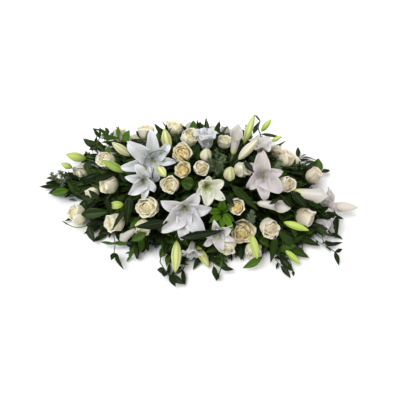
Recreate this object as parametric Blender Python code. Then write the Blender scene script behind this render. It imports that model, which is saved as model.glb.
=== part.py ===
"""A double-ended casket spray: roses, lilies, callas and leafy greens in two wet foam bricks in a tray.

Metres, +Z up. The origin is the middle of the tray's underside, +X runs along the casket and -Y is the front.
Each cut flower is one piece from its head to the end of its stem, which stands in a plain hole in the foam.
"""

import itertools
import math
import random

import bmesh
import bpy
from mathutils import Matrix, Vector
from mathutils.bvhtree import BVHTree

MM = 0.001

# Driving sizes of the whole spray.
SPRAY_LENGTH = 1.20
SHELL = Vector((0.475, 0.255, 0.235))  # half-length, half-depth and height of the dome that the heads sit on
SHELL_FOOT = 0.03
LOWEST_HEAD = 0.048
LOWEST_LEAF = 4 * MM

# The two foam bricks and the tray that holds them.
BRICK = Vector((0.230, 0.110, 0.080))
FIT_GAP = 0.4 * MM
TRAY_WALL = 2.5 * MM
TRAY_HEIGHT = 0.045
TRAY_CORNER = 12 * MM
TRAY_LIP = 4 * MM
TRAY_CORNER_STEPS = 3
BRICK_CORNER = 1 * MM
FOAM_TOP = TRAY_WALL + FIT_GAP + BRICK.z
FOAM_END = BRICK.x + 0.5 * FIT_GAP
FOAM_SIDE = BRICK.y / 2

# Stems and the plain holes that they stand in.
STEM_STEPS = 3
STEM_DEPTH = 26 * MM
STEM_STRAIGHT = 9 * MM
HOLE_GAP = 0.8 * MM
HOLE_PAST_STEM = 1.5 * MM
HOLE_WALL = 4 * MM  # least foam between two holes
HOLE_EDGE = 9 * MM  # least foam between a hole and the side of its brick
HOLE_FLOOR = 10 * MM
MOUTH_PITCH = 7 * MM
MOUTH_LEVELS = (59 * MM, 70 * MM)
FIRST_MOUTH = 10 * MM
MOUTHS_ALONG = 31
MOUTHS_ACROSS = 6  # to each side of the middle line
MOUTHS_TRIED = 400
ROSE_STEM = 2.8 * MM
LILY_STEM = 3.6 * MM
CALLA_STEM = 4.0 * MM
PEDICEL = 2.0 * MM
SPRIG_STEM = 1.7 * MM
BUNCH_STEM = 5.0 * MM
STEMS = {"rose": (ROSE_STEM, 3), "lily": (LILY_STEM, 4), "calla": (CALLA_STEM, 4), "bud": (PEDICEL, 3)}
# Straight stem kept free below a head.
STUBS = {"rose": 10 * MM, "lily": 12 * MM, "calla": 34 * MM, "bud": 26 * MM}
ROOT_STUB = 14 * MM
BLADE_THICK = 0.75 * MM

# Room kept round a piece while its place is tried.
CLEARANCE = 0.8 * MM
LEAF_CLEARANCE = 1.6 * MM
LEAF_START = 5 * MM
ROUND_TUBE = 6
PLAIN_REACHES = (0.36, 0.22, 0.52)  # how far a stem runs straight at each end, of its length
LOOSE_REACHES = (0.2, 0.6)
LOOSE_SWAY = 40 * MM
STEM_SWAYS = 6
STALK_SWAYS = 40
OTHER_HOSTS = 3  # stems nearby that a bud may branch from when its own has no clear way

# How places are read: pixels of the 400 x 400 photograph, seen from in front and above.
PHOTO_MIDDLE = 200.0
LEFT_TIP_PX = 40.0
RIGHT_TIP_PX = 357.0
METRES_PER_PX = SPRAY_LENGTH / (RIGHT_TIP_PX - LEFT_TIP_PX)
SIGHT_ELEVATION = math.radians(50)
SIGHT_TURN = math.radians(5)
SIGHT_DISTANCE = 2.2
SIGHT_TARGET = Vector((0.006, -0.012, 0.03))
MOVE_ALONG_SIGHT = 6 * MM
MOVE_ACROSS_SIGHT = 4 * MM
TOWARD = Vector((
    math.sin(SIGHT_TURN) * math.cos(SIGHT_ELEVATION),
    -math.cos(SIGHT_TURN) * math.cos(SIGHT_ELEVATION),
    math.sin(SIGHT_ELEVATION),
))
RIGHT = Vector((math.cos(SIGHT_TURN), math.sin(SIGHT_TURN), 0.0))
UP = TOWARD.cross(RIGHT)
EYE = SIGHT_TARGET + TOWARD * SIGHT_DISTANCE

# Roses: name, middle (px), turned (right, up, towards the viewer), across (mm), how far open (0 to 1).
ROSES = (
    ("rose_01", (80, 172), (-0.70, -0.30, 0.60), 66, 0.3),
    ("rose_02", (107, 161), (-0.50, 0.10, 0.80), 70, 0.4),
    ("rose_03", (109, 185), (-0.80, -0.15, 0.60), 72, 0.3),
    ("rose_04", (92, 193), (-0.70, -0.30, 0.50), 52, 0.1),
    ("rose_05", (78, 214), (-0.60, 0.30, 0.60), 76, 0.4),
    ("rose_06", (115, 222), (-0.60, -0.10, 0.70), 74, 0.4),
    ("rose_07", (148, 207), (-0.35, -0.15, 0.90), 78, 0.6),
    ("rose_08", (145, 226), (-0.05, -0.60, 0.60), 64, 0.2),
    ("rose_09", (120, 135), (-0.10, 0.85, 0.30), 60, 0.2),
    ("rose_10", (147, 132), (0.00, 0.80, 0.40), 66, 0.6),
    ("rose_11", (174, 129), (0.00, 0.75, 0.50), 68, 0.6),
    ("rose_12", (189, 138), (0.30, 0.50, 0.75), 72, 0.5),
    ("rose_13", (182, 154), (-0.12, 0.15, 1.00), 72, 0.5),
    ("rose_14", (182, 170), (0.05, 0.05, 1.00), 64, 0.3),
    ("rose_15", (171, 185), (-0.30, -0.10, 0.95), 62, 0.6),
    ("rose_16", (201, 168), (0.25, -0.10, 0.95), 57, 0.4),
    ("rose_17", (242, 169), (0.75, 0.20, 0.55), 64, 0.3),
    ("rose_18", (264, 143), (0.20, 0.80, 0.40), 56, 0.1),
    ("rose_19", (276, 151), (0.80, 0.40, 0.35), 50, 0.2),
    ("rose_20", (287, 159), (0.35, 0.70, 0.45), 66, 0.3),
    ("rose_21", (314, 176), (0.50, 0.60, 0.45), 68, 0.2),
    ("rose_22", (285, 184), (0.50, 0.00, 0.80), 62, 0.4),
    ("rose_23", (236, 207), (0.10, 0.00, 1.00), 64, 0.4),
    ("rose_24", (243, 232), (0.05, -0.30, 0.95), 84, 1.0),
    ("rose_25", (269, 227), (0.35, -0.40, 0.85), 72, 0.5),
    ("rose_26", (305, 217), (0.80, -0.40, 0.40), 74, 0.3),
    ("rose_27", (227, 245), (-0.05, -0.75, 0.55), 68, 0.3),
    ("rose_28", (253, 250), (0.20, -0.75, 0.50), 64, 0.5),
    ("rose_29", (224, 142), (0.10, 0.65, 0.60), 54, 0.5),
)

# Roses behind the ridge, where the photograph doesn't reach: node, then the place of each along X and its
# height (mm).
BACK_ROSES = (
    ("roses_back_left", ((-350, 80), (-255, 125), (-165, 80))),
    ("roses_back_right", ((165, 85), (255, 125), (350, 75))),
)
BACK_ROSE_ACROSS = 66
BACK_ROSE_OPEN = 0.4
ROSE_ROLL = 0.7  # radians from one rose to the next
BACK_ROSE_ROLL = 0.9

# Lilies: name, throat (px), turned, tepal length (mm), angle of the tepal tips from the axis (degrees), and
# either the six tepal tips (px) or the turn of the first tepal (degrees).
LILIES = (
    ("lily_01", (154, 162), (0.20, -0.30, 0.90), 128, 112,
     ((126, 142), (120, 164), (154, 131), (165, 143), (173, 163), (156, 180))),
    ("lily_02", (145, 181), (0.35, -0.10, 0.92), 92, 108,
     ((121, 179), (131, 167), (149, 171), (153, 188), (138, 200), (124, 194))),
    ("lily_03", (185, 210), (0.00, -0.25, 0.97), 122, 108,
     ((160, 201), (201, 194), (212, 206), (201, 235), (181, 240), (166, 234))),
    ("lily_04", (207, 187), (0.10, -0.15, 0.95), 84, 62, 20),
    ("lily_05", (262, 176), (-0.15, -0.05, 0.98), 112, 110,
     ((262, 151), (284, 173), (283, 193), (269, 201), (247, 189), (248, 163))),
    ("lily_06", (206, 143), (0.00, 0.80, 0.55), 82, 52, 10),
    ("lily_07", (217, 232), (0.05, -0.50, 0.75), 92, 100, 40),
    ("lily_08", (322, 201), (0.85, 0.15, 0.35), 84, 62, 0),
    ("lily_09", (192, 249), (-0.05, -0.85, 0.40), 88, 70, 15),
    ("lily_10", (322, 224), (0.80, -0.35, 0.35), 80, 66, 30),
    ("lily_11", (261, 149), (0.10, 0.70, 0.60), 78, 80, 25),
)
BACK_LILIES = (
    ("lily_back_left", (-75, 130), 108, 105, 0),
    ("lily_back_right", (85, 130), 108, 105, 25),
)

# Buds: the lily whose stem carries it, foot (px), turned, length and width (mm).
BUDS = (
    ("lily_01", (131, 156), (-0.80, 0.58, 0.20), 82, 33),
    ("lily_01", (169, 151), (-0.18, 0.97, 0.20), 80, 38),
    ("lily_bud_stem", (87, 159), (-0.95, 0.20, 0.30), 78, 38),
    ("lily_02", (125, 172), (-0.85, 0.45, 0.30), 88, 32),
    ("lily_bud_stem", (73, 168), (-0.85, 0.35, 0.30), 46, 26),
    ("lily_11", (244, 144), (0.33, 0.94, 0.10), 112, 30),
    ("lily_11", (261, 132), (0.63, 0.77, 0.10), 60, 24),
    ("lily_11", (271, 142), (0.85, 0.45, 0.30), 44, 18),
    ("lily_11", (238, 160), (0.68, 0.70, 0.20), 100, 34),
    ("lily_04", (229, 180), (0.00, 0.50, 0.85), 78, 42),
    ("lily_02", (158, 167), (0.50, -0.60, 0.65), 60, 32),
    ("lily_02", (124, 204), (-0.95, -0.10, 0.25), 56, 30),
    ("lily_10", (283, 222), (0.94, -0.31, 0.15), 92, 28),
    ("lily_10", (285, 250), (0.71, -0.68, 0.05), 70, 24),
    ("lily_07", (251, 234), (0.22, -0.95, 0.20), 88, 30),
    ("lily_09", (195, 246), (0.50, -0.84, 0.10), 88, 32),
    ("lily_09", (178, 240), (-0.04, -0.97, 0.12), 112, 38),
    ("lily_08", (329, 207), (0.99, -0.02, 0.05), 104, 40),
    ("lily_06", (206, 161), (0.00, 0.60, 0.75), 60, 42),
)

# Callas: name, foot of the spathe (px), turned, length (mm).
CALLAS = (
    ("calla_01", (233, 155), (0.15, 0.93, 0.35), 112),
    ("calla_02", (291, 192), (0.92, -0.12, 0.32), 138),
    ("calla_03", (257, 203), (0.95, -0.15, 0.28), 120),
    ("calla_04", (136, 229), (-0.75, -0.55, 0.35), 78),
)
BACK_CALLA = ("calla_back", (5, 95), 115)
BACK_CALLA_SUNK = 30 * MM

# Greens: each bunch has a root on the foam (mm) and the way it leaves; each sprig has its tip (px), the
# height of that tip above the table (mm, or None on the dome) and its leaf.
RUSCUS, LILY_LEAF, SALAL, FERN = range(4)
LEAVES = {  # pitch along the stem, length and half-width (mm)
    RUSCUS: (27, 56, 10),
    LILY_LEAF: (60, 120, 12),
    SALAL: (45, 84, 22),
    FERN: (20, 40, 5),
}
BUNCHES = (
    ("greens_left", (-230.2, 4, 66), (-1, 0, 0), (
        ((40, 186), 25, RUSCUS), ((46, 178), 55, RUSCUS), ((52, 194), 18, RUSCUS), ((61, 200), 12, RUSCUS),
        ((59, 172), 75, FERN), ((99, 172), None, RUSCUS), ((82, 214), None, SALAL), ((63, 222), 14, RUSCUS),
    )),
    ("greens_right", (230.2, -4, 66), (1, 0, 0), (
        ((344, 219), 30, RUSCUS), ((343, 239), 14, RUSCUS), ((322, 242), 14, SALAL), ((341, 257), 6, RUSCUS),
        ((319, 163), 90, RUSCUS), ((303, 196), None, SALAL), ((337, 236), 50, LILY_LEAF),
    )),
    ("greens_front_left", (-118, -55, 66), (0, -1, 0), (
        ((180, 285), 8, RUSCUS), ((165, 277), 8, RUSCUS), ((85, 236), 12, RUSCUS), ((94, 243), 9, RUSCUS),
        ((122, 268), 6, RUSCUS), ((130, 258), 12, RUSCUS), ((139, 260), 10, RUSCUS), ((150, 254), 18, RUSCUS),
        ((164, 266), 10, RUSCUS), ((126, 226), None, LILY_LEAF),
    )),
    ("greens_front_right", (118, -55, 66), (0, -1, 0), (
        ((198, 270), 12, RUSCUS), ((215, 281), 8, RUSCUS), ((234, 270), 10, RUSCUS), ((259, 270), 10, RUSCUS),
        ((274, 266), 12, LILY_LEAF), ((292, 276), 8, RUSCUS), ((309, 257), 10, RUSCUS),
        ((312, 244), 20, SALAL), ((298, 250), 34, LILY_LEAF), ((259, 211), None, LILY_LEAF),
    )),
    ("greens_back_left", (-118, 55, 66), (0, 1, 0), (
        ((93, 127), 120, RUSCUS), ((85, 140), 95, RUSCUS), ((118, 126), 170, RUSCUS),
        ((139, 126), 190, RUSCUS), ((68, 152), 20, RUSCUS), ((95, 142), 10, RUSCUS),
        ((125, 138), 10, RUSCUS), ((158, 137), 12, RUSCUS), ((190, 137), 10, SALAL),
    )),
    ("greens_back_right", (118, 55, 66), (0, 1, 0), (
        ((282, 137), 170, LILY_LEAF), ((300, 161), 120, RUSCUS), ((260, 122), 200, RUSCUS),
        ((222, 137), 10, RUSCUS), ((250, 138), 12, RUSCUS), ((280, 142), 10, RUSCUS),
        ((310, 150), 10, RUSCUS), ((335, 165), 20, SALAL),
    )),
    ("greens_top", (14, 2, 82.9), (0, 0, 1), (
        ((157, 122), 240, RUSCUS), ((207, 118), 245, RUSCUS), ((219, 122), 240, RUSCUS),
        ((195, 122), 240, SALAL), ((177, 142), None, SALAL), ((190, 182), None, SALAL),
        ((217, 158), None, FERN), ((222, 211), None, RUSCUS), ((246, 150), None, SALAL),
        ((225, 196), None, LILY_LEAF),
    )),
)

# Profile of a rose from calyx to heart: points round, radius, height, lobes, their flare, lift and turn.
ROSE_PROFILE = (
    (5, 0.34, 0.10, 0, 0.00, 0.00, 0.0),
    (10, 0.88, 0.44, 0, 0.00, 0.00, 0.0),
    (10, 0.88, 0.80, 5, 0.24, -0.06, 0.2),
    (10, 0.62, 0.68, 0, 0.00, 0.00, 0.0),
    (10, 0.50, 0.88, 3, 0.10, 0.09, 0.3),
    (5, 0.24, 0.82, 0, 0.00, 0.00, 0.0),
    (1, 0.00, 1.02, 0, 0.00, 0.00, 0.0),
)
WIDEST_ROW = 2
OPEN_FLARE = 0.10  # how much further the widest petals of a wide open rose reach
OPEN_DROP = 0.22  # and how much lower they lie
ROSE_HEIGHT = 0.90  # of its width
ROSE_FACE = 0.62  # where the middle that the photograph shows lies, of its height

# A lily: how its tepals leave the throat and where they are widest.
THROAT_ANGLE = 14
TEPAL_BEND = 1.25
CUP_SHARE = 0.30
TEPAL_SECTIONS = ((0.60, 1.00), (0.85, 0.66))
LEAST_TEPAL_GAP = math.radians(46)
TEPAL_STEPS = 20
TEPAL_WIDTH = (0.19, 0.14)  # half-width of the inner and outer tepals, of their length
TEPAL_STRETCH = (0.80, 1.15)  # least and greatest length of a tepal whose tip was read, of the lily's length
TEPAL_FOLD = 0.28  # lift of the edges, of the half-width
NOTCH_LIFT = 1.08
LILY_NECK = (0.05, 0.06)  # radius and height, of the lily's length
PISTIL = ((4, 0.022, 0.14), (4, 0.014, 0.60), (1, 0.0, 0.65))  # points, radius and height
LILY_FACE = 0.34  # where the throat lies, of its length
LILY_OUT = 12 * MM  # outside the dome
BUD_OUT = 10 * MM

# A bud from its foot to its tip: radius and height; then its furrows, of its radius.
BUD_PROFILE = ((0.40, 0.03), (0.82, 0.26), (1.00, 0.55), (0.64, 0.84), (0.0, 1.0))
BUD_FURROW = 0.86

# Spathe of a calla from its foot to its rim, then down inside and up the spadix: points, radius and height
# of its length, how much further the long lip reaches, and the flare of the rim.
CALLA_PROFILE = (
    (8, 0.055, 0.16, 0.00, 0.00),
    (8, 0.105, 0.50, 0.00, 0.00),
    (8, 0.185, 0.80, 0.20, 0.09),
    (8, 0.165, 0.79, 0.19, 0.09),
    (8, 0.080, 0.52, 0.00, 0.00),
    (4, 0.030, 0.34, 0.00, 0.00),
    (4, 0.026, 0.62, 0.00, 0.00),
    (1, 0.000, 0.68, 0.00, 0.00),
)

# Sections of the leaf at a sprig's tip and of those at its sides: share of the length and of the half-width.
TIP_LEAF = ((0.30, 0.90), (0.68, 0.80))
SIDE_LEAF = ((0.42, 1.00),)
LEAF_DROOP = 0.10  # of its length
LEAF_FOLD = 0.22  # of its half-width
LEAFY_SHARE = 0.66
MOST_LEAVES = 2
PETIOLE = 2 * MM
LEAF_SIZES = (1.0, 0.8, 0.64)  # tried one after the other where room is short
LEAF_ANGLES = (48, 32, 64, 80)
LEAF_TILTS = (0.15, 0.5, -0.2)
SPRIG_STEPS = 3
SPRIG_TRIES = 360
SPRIG_OUT = 6 * MM  # outside the dome
LOWEST_TIP = 8 * MM
LOOSE_TIP = 14  # greatest loose move of a tip (mm)
SPRIG_SWAYS = 30
SWAY_STEP = 2.2 * MM
UPWARD = 0.45  # how much a leaf faces up as well as out
CORE_SHARE = 0.4
SEED = 7

SMOOTH_ANGLE = math.radians(35)
GREEN = (0.030, 0.090, 0.022)
COLOURS = {
    "rose": (0.88, 0.80, 0.62),
    "lily": (0.90, 0.89, 0.86),
    "calla": (0.90, 0.88, 0.78),
    "greens": GREEN,
    "foam": (0.05, 0.16, 0.07),
    "tray": (0.02, 0.07, 0.03),
}
ROUGHNESS = {"rose": 0.55, "lily": 0.45, "calla": 0.40, "greens": 0.35, "foam": 0.95, "tray": 0.40}


class Shape:
    """Points and triangles of one closed piece, laid ring by ring with its faces pointing out."""

    def __init__(self):
        self.points = []
        self.faces = []

    def ring(self, points):
        start = len(self.points)
        self.points.extend(points)
        return list(range(start, len(self.points)))

    def face(self, *corners):
        if len(set(corners)) == len(corners):
            self.faces.append(corners)

    def skin(self, lower, upper):
        """Joins two rings, which may have different numbers of points."""
        n, m = len(lower), len(upper)
        i = j = 0
        while i < n or j < m:
            near, far = lower[i % n], upper[j % m]
            if j < m and j * n <= i * m:
                j += 1
                self.face(near, upper[j % m], far)
            else:
                i += 1
                self.face(near, lower[i % n], far)

    def close_foot(self, ring):
        for i in range(1, len(ring) - 1):
            self.face(ring[0], ring[i + 1], ring[i])


def cubic(a, b, c, d, t):
    s = 1.0 - t
    return a * (s * s * s) + b * (3 * s * s * t) + c * (3 * s * t * t) + d * (t * t * t)


def sight(px):
    """Direction of the line of sight through a pixel."""
    across = RIGHT * (px[0] - PHOTO_MIDDLE) + UP * (PHOTO_MIDDLE - px[1])
    return (across * METRES_PER_PX - TOWARD * SIGHT_DISTANCE).normalized()


def at_height(px, height):
    """Where the line of sight through a pixel comes down to a height."""
    ray = sight(px)
    return EYE + ray * ((height - EYE.z) / ray.z)


def on_shell(px):
    """Where the line of sight through a pixel meets the dome, or passes nearest to it."""
    ray = sight(px)
    start = EYE - Vector((0, 0, SHELL_FOOT))
    start = Vector([start[i] / SHELL[i] for i in range(3)])
    step = Vector([ray[i] / SHELL[i] for i in range(3)])
    middle = -start.dot(step) / step.dot(step)
    spread = middle * middle - (start.dot(start) - 1.0) / step.dot(step)
    point = EYE + ray * (middle - math.sqrt(max(spread, 0.0)))
    return point if point.z > LOWEST_HEAD else at_height(px, LOWEST_HEAD)


def behind_shell(place):
    """A point on the far side of the dome and the way it faces, from its place along X and height (mm)."""
    x, z = place[0] * MM, place[1] * MM
    rise = (z - SHELL_FOOT) / SHELL.z
    y = SHELL.y * math.sqrt(1.0 - (x / SHELL.x) ** 2 - rise * rise)
    facing = Vector((x / SHELL.x ** 2, y / SHELL.y ** 2, (z - SHELL_FOOT) / SHELL.z ** 2))
    return Vector((x, y, z)), facing.normalized()


def turned(facing):
    return (RIGHT * facing[0] + UP * facing[1] + TOWARD * facing[2]).normalized()


def axes_of(axis, roll=0.0):
    """Turns a piece that was laid out along +Z to point along the axis."""
    return axis.to_track_quat("Z", "Y").to_matrix() @ Matrix.Rotation(roll, 3, "Z")


def round_ring(middle, axis, side, radius, count):
    up = axis.cross(side)
    steps = [2 * math.pi * k / count for k in range(count)]
    return [middle + (side * math.cos(a) + up * math.sin(a)) * radius for a in steps]


def frames_along(path, side):
    """Each point of a path with its direction and a side that turns as little as possible."""
    frames = []
    for i, point in enumerate(path):
        before = point - path[max(i - 1, 0)]
        after = path[min(i + 1, len(path) - 1)] - point
        along = (before.normalized() + after.normalized()).normalized()
        side = (side - along * side.dot(along)).normalized()
        frames.append((point, along, side))
    return frames


def add_stem(shape, path, side, radius, count):
    """A stem from the last point of the path up to its first, where the ring that it ends in is left open."""
    frames = frames_along(path, side)
    rings = [shape.ring(round_ring(point, -along, turn, radius, count)) for point, along, turn in frames]
    rings.reverse()
    shape.close_foot(rings[0])
    for lower, upper in zip(rings, rings[1:]):
        shape.skin(lower, upper)
    return rings[-1]


def rose_shape(head, path, scale=1.0):
    """A rose in one skin: stem, calyx, outer petals, inner petals and the rolled heart."""
    shape = Shape()
    size = head["across"] / 2 * scale
    tall = head["across"] * ROSE_HEIGHT * scale
    last = add_stem(shape, path, head["axes"].col[0], *STEMS["rose"])
    for row, (count, radius, height, lobes, flare, lift, shift) in enumerate(ROSE_PROFILE):
        if row == WIDEST_ROW:
            flare += OPEN_FLARE * head["open"]
            height -= OPEN_DROP * head["open"]
        ring = []
        for k in range(count):
            angle = 2 * math.pi * k / count
            wave = abs(math.sin(lobes * angle / 2 + shift)) if lobes else 0.0
            reach = (radius + flare * wave) * size
            local = Vector((math.cos(angle) * reach, math.sin(angle) * reach, (height + lift * wave) * tall))
            ring.append(head["foot"] + head["axes"] @ local)
        ring = shape.ring(ring)
        shape.skin(last, ring)
        last = ring
    return shape


def blade_rings(shape, base, sections, tip, thick):
    """Skins a thin blade from its base ring (right edge, top, left edge, underside) through its sections to
    the tip, split alike on both faces. A section is its middle, side, normal, half-width and edge lift."""
    rings = [base] if len(base) == 4 else []
    for middle, side, normal, width, lift in sections:
        edge = normal * lift
        rings.append(shape.ring([
            middle + side * width + edge, middle + normal * thick,
            middle - side * width + edge, middle - normal * thick,
        ]))
    if len(base) != 4:
        shape.skin(base, rings[0])
    for (a, b, c, d), (e, f, g, h) in zip(rings, rings[1:]):
        upper = ((a, b, f), (a, f, e), (b, c, f), (c, g, f))
        under = ((c, d, h), (c, h, g), (d, a, h), (a, e, h))
        for corners in upper + under:
            shape.face(*corners)
    shape.skin(rings[-1], shape.ring([tip]))


def tepal_line(length, spread):
    """Reach and height along a tepal's middle, which bends out from the throat to its tip."""
    reach = height = 0.0
    line = [(0.0, 0.0, math.radians(THROAT_ANGLE))]
    for k in range(TEPAL_STEPS):
        t = ((k + 0.5) / TEPAL_STEPS) ** TEPAL_BEND
        angle = math.radians(THROAT_ANGLE + (spread - THROAT_ANGLE) * t)
        reach += math.sin(angle) * length / TEPAL_STEPS
        height += math.cos(angle) * length / TEPAL_STEPS
        line.append((reach, height, angle))
    return line


def tepal_turns(head):
    """Turn and length of each of the six tepals, from the places of their tips or evenly round."""
    if isinstance(head["tips"], (int, float)):
        return [(math.radians(head["tips"] + 60 * k), head["length"]) for k in range(6)]
    reach, height, _ = tepal_line(head["length"], head["spread"])[-1]
    middle = head["foot"] + head["axes"].col[2] * height
    found = []
    for px in head["tips"]:
        ray = sight(px)
        distance = (middle - EYE).dot(head["axes"].col[2]) / ray.dot(head["axes"].col[2])
        local = head["axes"].transposed() @ (EYE + ray * distance - middle)
        size = min(max(local.to_2d().length / reach, TEPAL_STRETCH[0]), TEPAL_STRETCH[1])
        found.append([math.atan2(local.y, local.x), size * head["length"]])
    found.sort()
    for _ in range(12):
        for k in range(6):
            gap = (found[(k + 1) % 6][0] - found[k][0]) % (2 * math.pi)
            if gap < LEAST_TEPAL_GAP:
                found[k][0] -= (LEAST_TEPAL_GAP - gap) / 2
                found[(k + 1) % 6][0] += (LEAST_TEPAL_GAP - gap) / 2
    return found


def lily_shape(head, path, extra=0.0):
    """A lily in one skin: stem, cup, six tepals, three of them wider, and the pistil."""
    shape = Shape()
    turns = tepal_turns(head)
    lines = [tepal_line(length, head["spread"]) for _, length in turns]
    thick = BLADE_THICK + extra
    foot, axes, size = head["foot"], head["axes"], head["length"]

    def at(turn, reach, height):
        return foot + axes @ Vector((math.cos(turn) * reach, math.sin(turn) * reach, height))

    def section(k, share):
        turn, (reach, height, angle) = turns[k][0], lines[k][round(share * TEPAL_STEPS)]
        out = Vector((math.cos(turn), math.sin(turn), 0))
        side = axes @ Vector((-math.sin(turn), math.cos(turn), 0))
        normal = axes @ (Vector((0, 0, math.sin(angle))) - out * math.cos(angle))
        return at(turn, reach, height), side, normal

    inner, outer, notches = [], [], []
    for k in range(6):
        middle, _, normal = section(k, CUP_SHARE)
        inner += shape.ring([middle + normal * thick])
        outer += shape.ring([middle - normal * thick])
        gap = (turns[(k + 1) % 6][0] - turns[k][0]) % (2 * math.pi)
        reach, height, _ = lines[k][round(CUP_SHARE * TEPAL_STEPS)]
        notches += shape.ring([at(turns[k][0] + gap / 2, reach, height * NOTCH_LIFT)])
    last = add_stem(shape, path, axes.col[0], *STEMS["lily"])
    neck = shape.ring([at(turns[k][0], LILY_NECK[0] * size, LILY_NECK[1] * size) for k in range(6)])
    shape.skin(turned_to(shape, last, neck), neck)
    shape.skin(neck, [index for pair in zip(outer, notches) for index in pair])
    for k, (turn, length) in enumerate(turns):
        width = TEPAL_WIDTH[k % 2] * length
        sections = []
        for share, wide in TEPAL_SECTIONS:
            middle, side, normal = section(k, share)
            sections.append((middle, side, normal, width * wide + extra, width * wide * TEPAL_FOLD))
        base = [notches[k], inner[k], notches[k - 1], outer[k]]
        blade_rings(shape, base, sections, at(turn, *lines[k][-1][:2]), thick)
    last = [index for pair in zip(inner, notches) for index in pair]
    for count, radius, height in PISTIL:
        spots = [turns[0][0] + 2 * math.pi * k / count for k in range(count)]
        ring = shape.ring([at(spot, radius * size, height * size) for spot in spots])
        shape.skin(last, ring)
        last = ring
    return shape


def turned_to(shape, ring, other):
    """The ring, started at its point that lies nearest to the first point of the other."""
    first = min(range(len(ring)), key=lambda k: (shape.points[ring[k]] - shape.points[other[0]]).length)
    return ring[first:] + ring[:first]


def bud_shape(head, path, extra=0.0):
    """A closed lily bud with three ridges, on its stalk."""
    shape = Shape()
    last = add_stem(shape, path, head["axes"].col[0], *STEMS["bud"])
    for radius, height in BUD_PROFILE:
        count = 6 if radius else 1
        ring = []
        for k in range(count):
            angle = 2 * math.pi * k / count
            reach = radius * (BUD_FURROW if k % 2 else 1.0) * (head["across"] / 2 + extra)
            local = Vector((math.cos(angle) * reach, math.sin(angle) * reach, height * head["length"]))
            ring.append(head["foot"] + head["axes"] @ local)
        ring = shape.ring(ring)
        shape.skin(last, ring)
        last = ring
    return shape


def calla_shape(head, path, scale=1.0):
    """A calla: its stem, the rolled spathe with one long lip, and the spadix inside."""
    shape = Shape()
    last = add_stem(shape, path, head["axes"].col[0], *STEMS["calla"])
    length = head["length"]
    for count, radius, height, lip, flare in CALLA_PROFILE:
        ring = []
        for k in range(count):
            angle = 2 * math.pi * k / count
            long_side = (0.5 + 0.5 * math.cos(angle)) ** 2
            reach = (radius + flare * long_side) * length * scale
            rise = (height + lip * long_side) * length
            local = Vector((math.cos(angle) * reach, math.sin(angle) * reach, rise))
            ring.append(head["foot"] + head["axes"] @ local)
        ring = shape.ring(ring)
        shape.skin(last, ring)
        last = ring
    return shape


class Space:
    """What is already in its place, so that a new piece can be tried against it."""

    def __init__(self):
        self.held = []

    def add(self, owner, shape):
        self.held.append((owner, *self.tree_of(shape)))

    @staticmethod
    def tree_of(shape):
        low = Vector([min(p[i] for p in shape.points) for i in range(3)])
        high = Vector([max(p[i] for p in shape.points) for i in range(3)])
        return BVHTree.FromPolygons(shape.points, shape.faces), low, high

    def clear(self, shapes, owners=()):
        for shape in shapes:
            tree, low, high = self.tree_of(shape)
            if low.z < LOWEST_LEAF:
                return False
            for owner, other, other_low, other_high in self.held:
                if owner in owners or any(low[i] > other_high[i] or high[i] < other_low[i] for i in range(3)):
                    continue
                if tree.overlap(other):
                    return False
        return True


def small_moves():
    """Steps along and across the line of sight, the smallest first."""
    moves = [(a, r, u) for a in range(-6, 7) for r in range(-2, 3) for u in range(-2, 3)]
    moves.sort(key=lambda move: abs(move[0] - 0.2) + 3.0 * (abs(move[1]) + abs(move[2])))
    along, across = MOVE_ALONG_SIGHT, MOVE_ACROSS_SIGHT
    return [TOWARD * a * along + (RIGHT * r + UP * u) * across for a, r, u in moves]


def stub(head):
    """The first straight bit of a stem, for trying a head before its stem has a route."""
    return [head["foot"], head["foot"] - head["axes"].col[2] * STUBS[head["kind"]]]


def head_shapes(head, path, fat=False):
    """The solids of one head on its stem; fat ones keep their neighbours at a distance."""
    extra = CLEARANCE if fat else 0.0
    if head["kind"] == "rose":
        return [rose_shape(head, path, 1.03 if fat else 1.0)]
    if head["kind"] == "lily":
        return [lily_shape(head, path, extra)]
    if head["kind"] == "bud":
        return [bud_shape(head, path, extra)]
    return [calla_shape(head, path, 1.04 if fat else 1.0)]


def make_head(kind, node, face, facing, face_height, roll, **sizes):
    axes = axes_of(facing, roll)
    head = {"kind": kind, "node": node, "axes": axes, "foot": face - facing * face_height}
    head.update(sizes)
    return head


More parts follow.
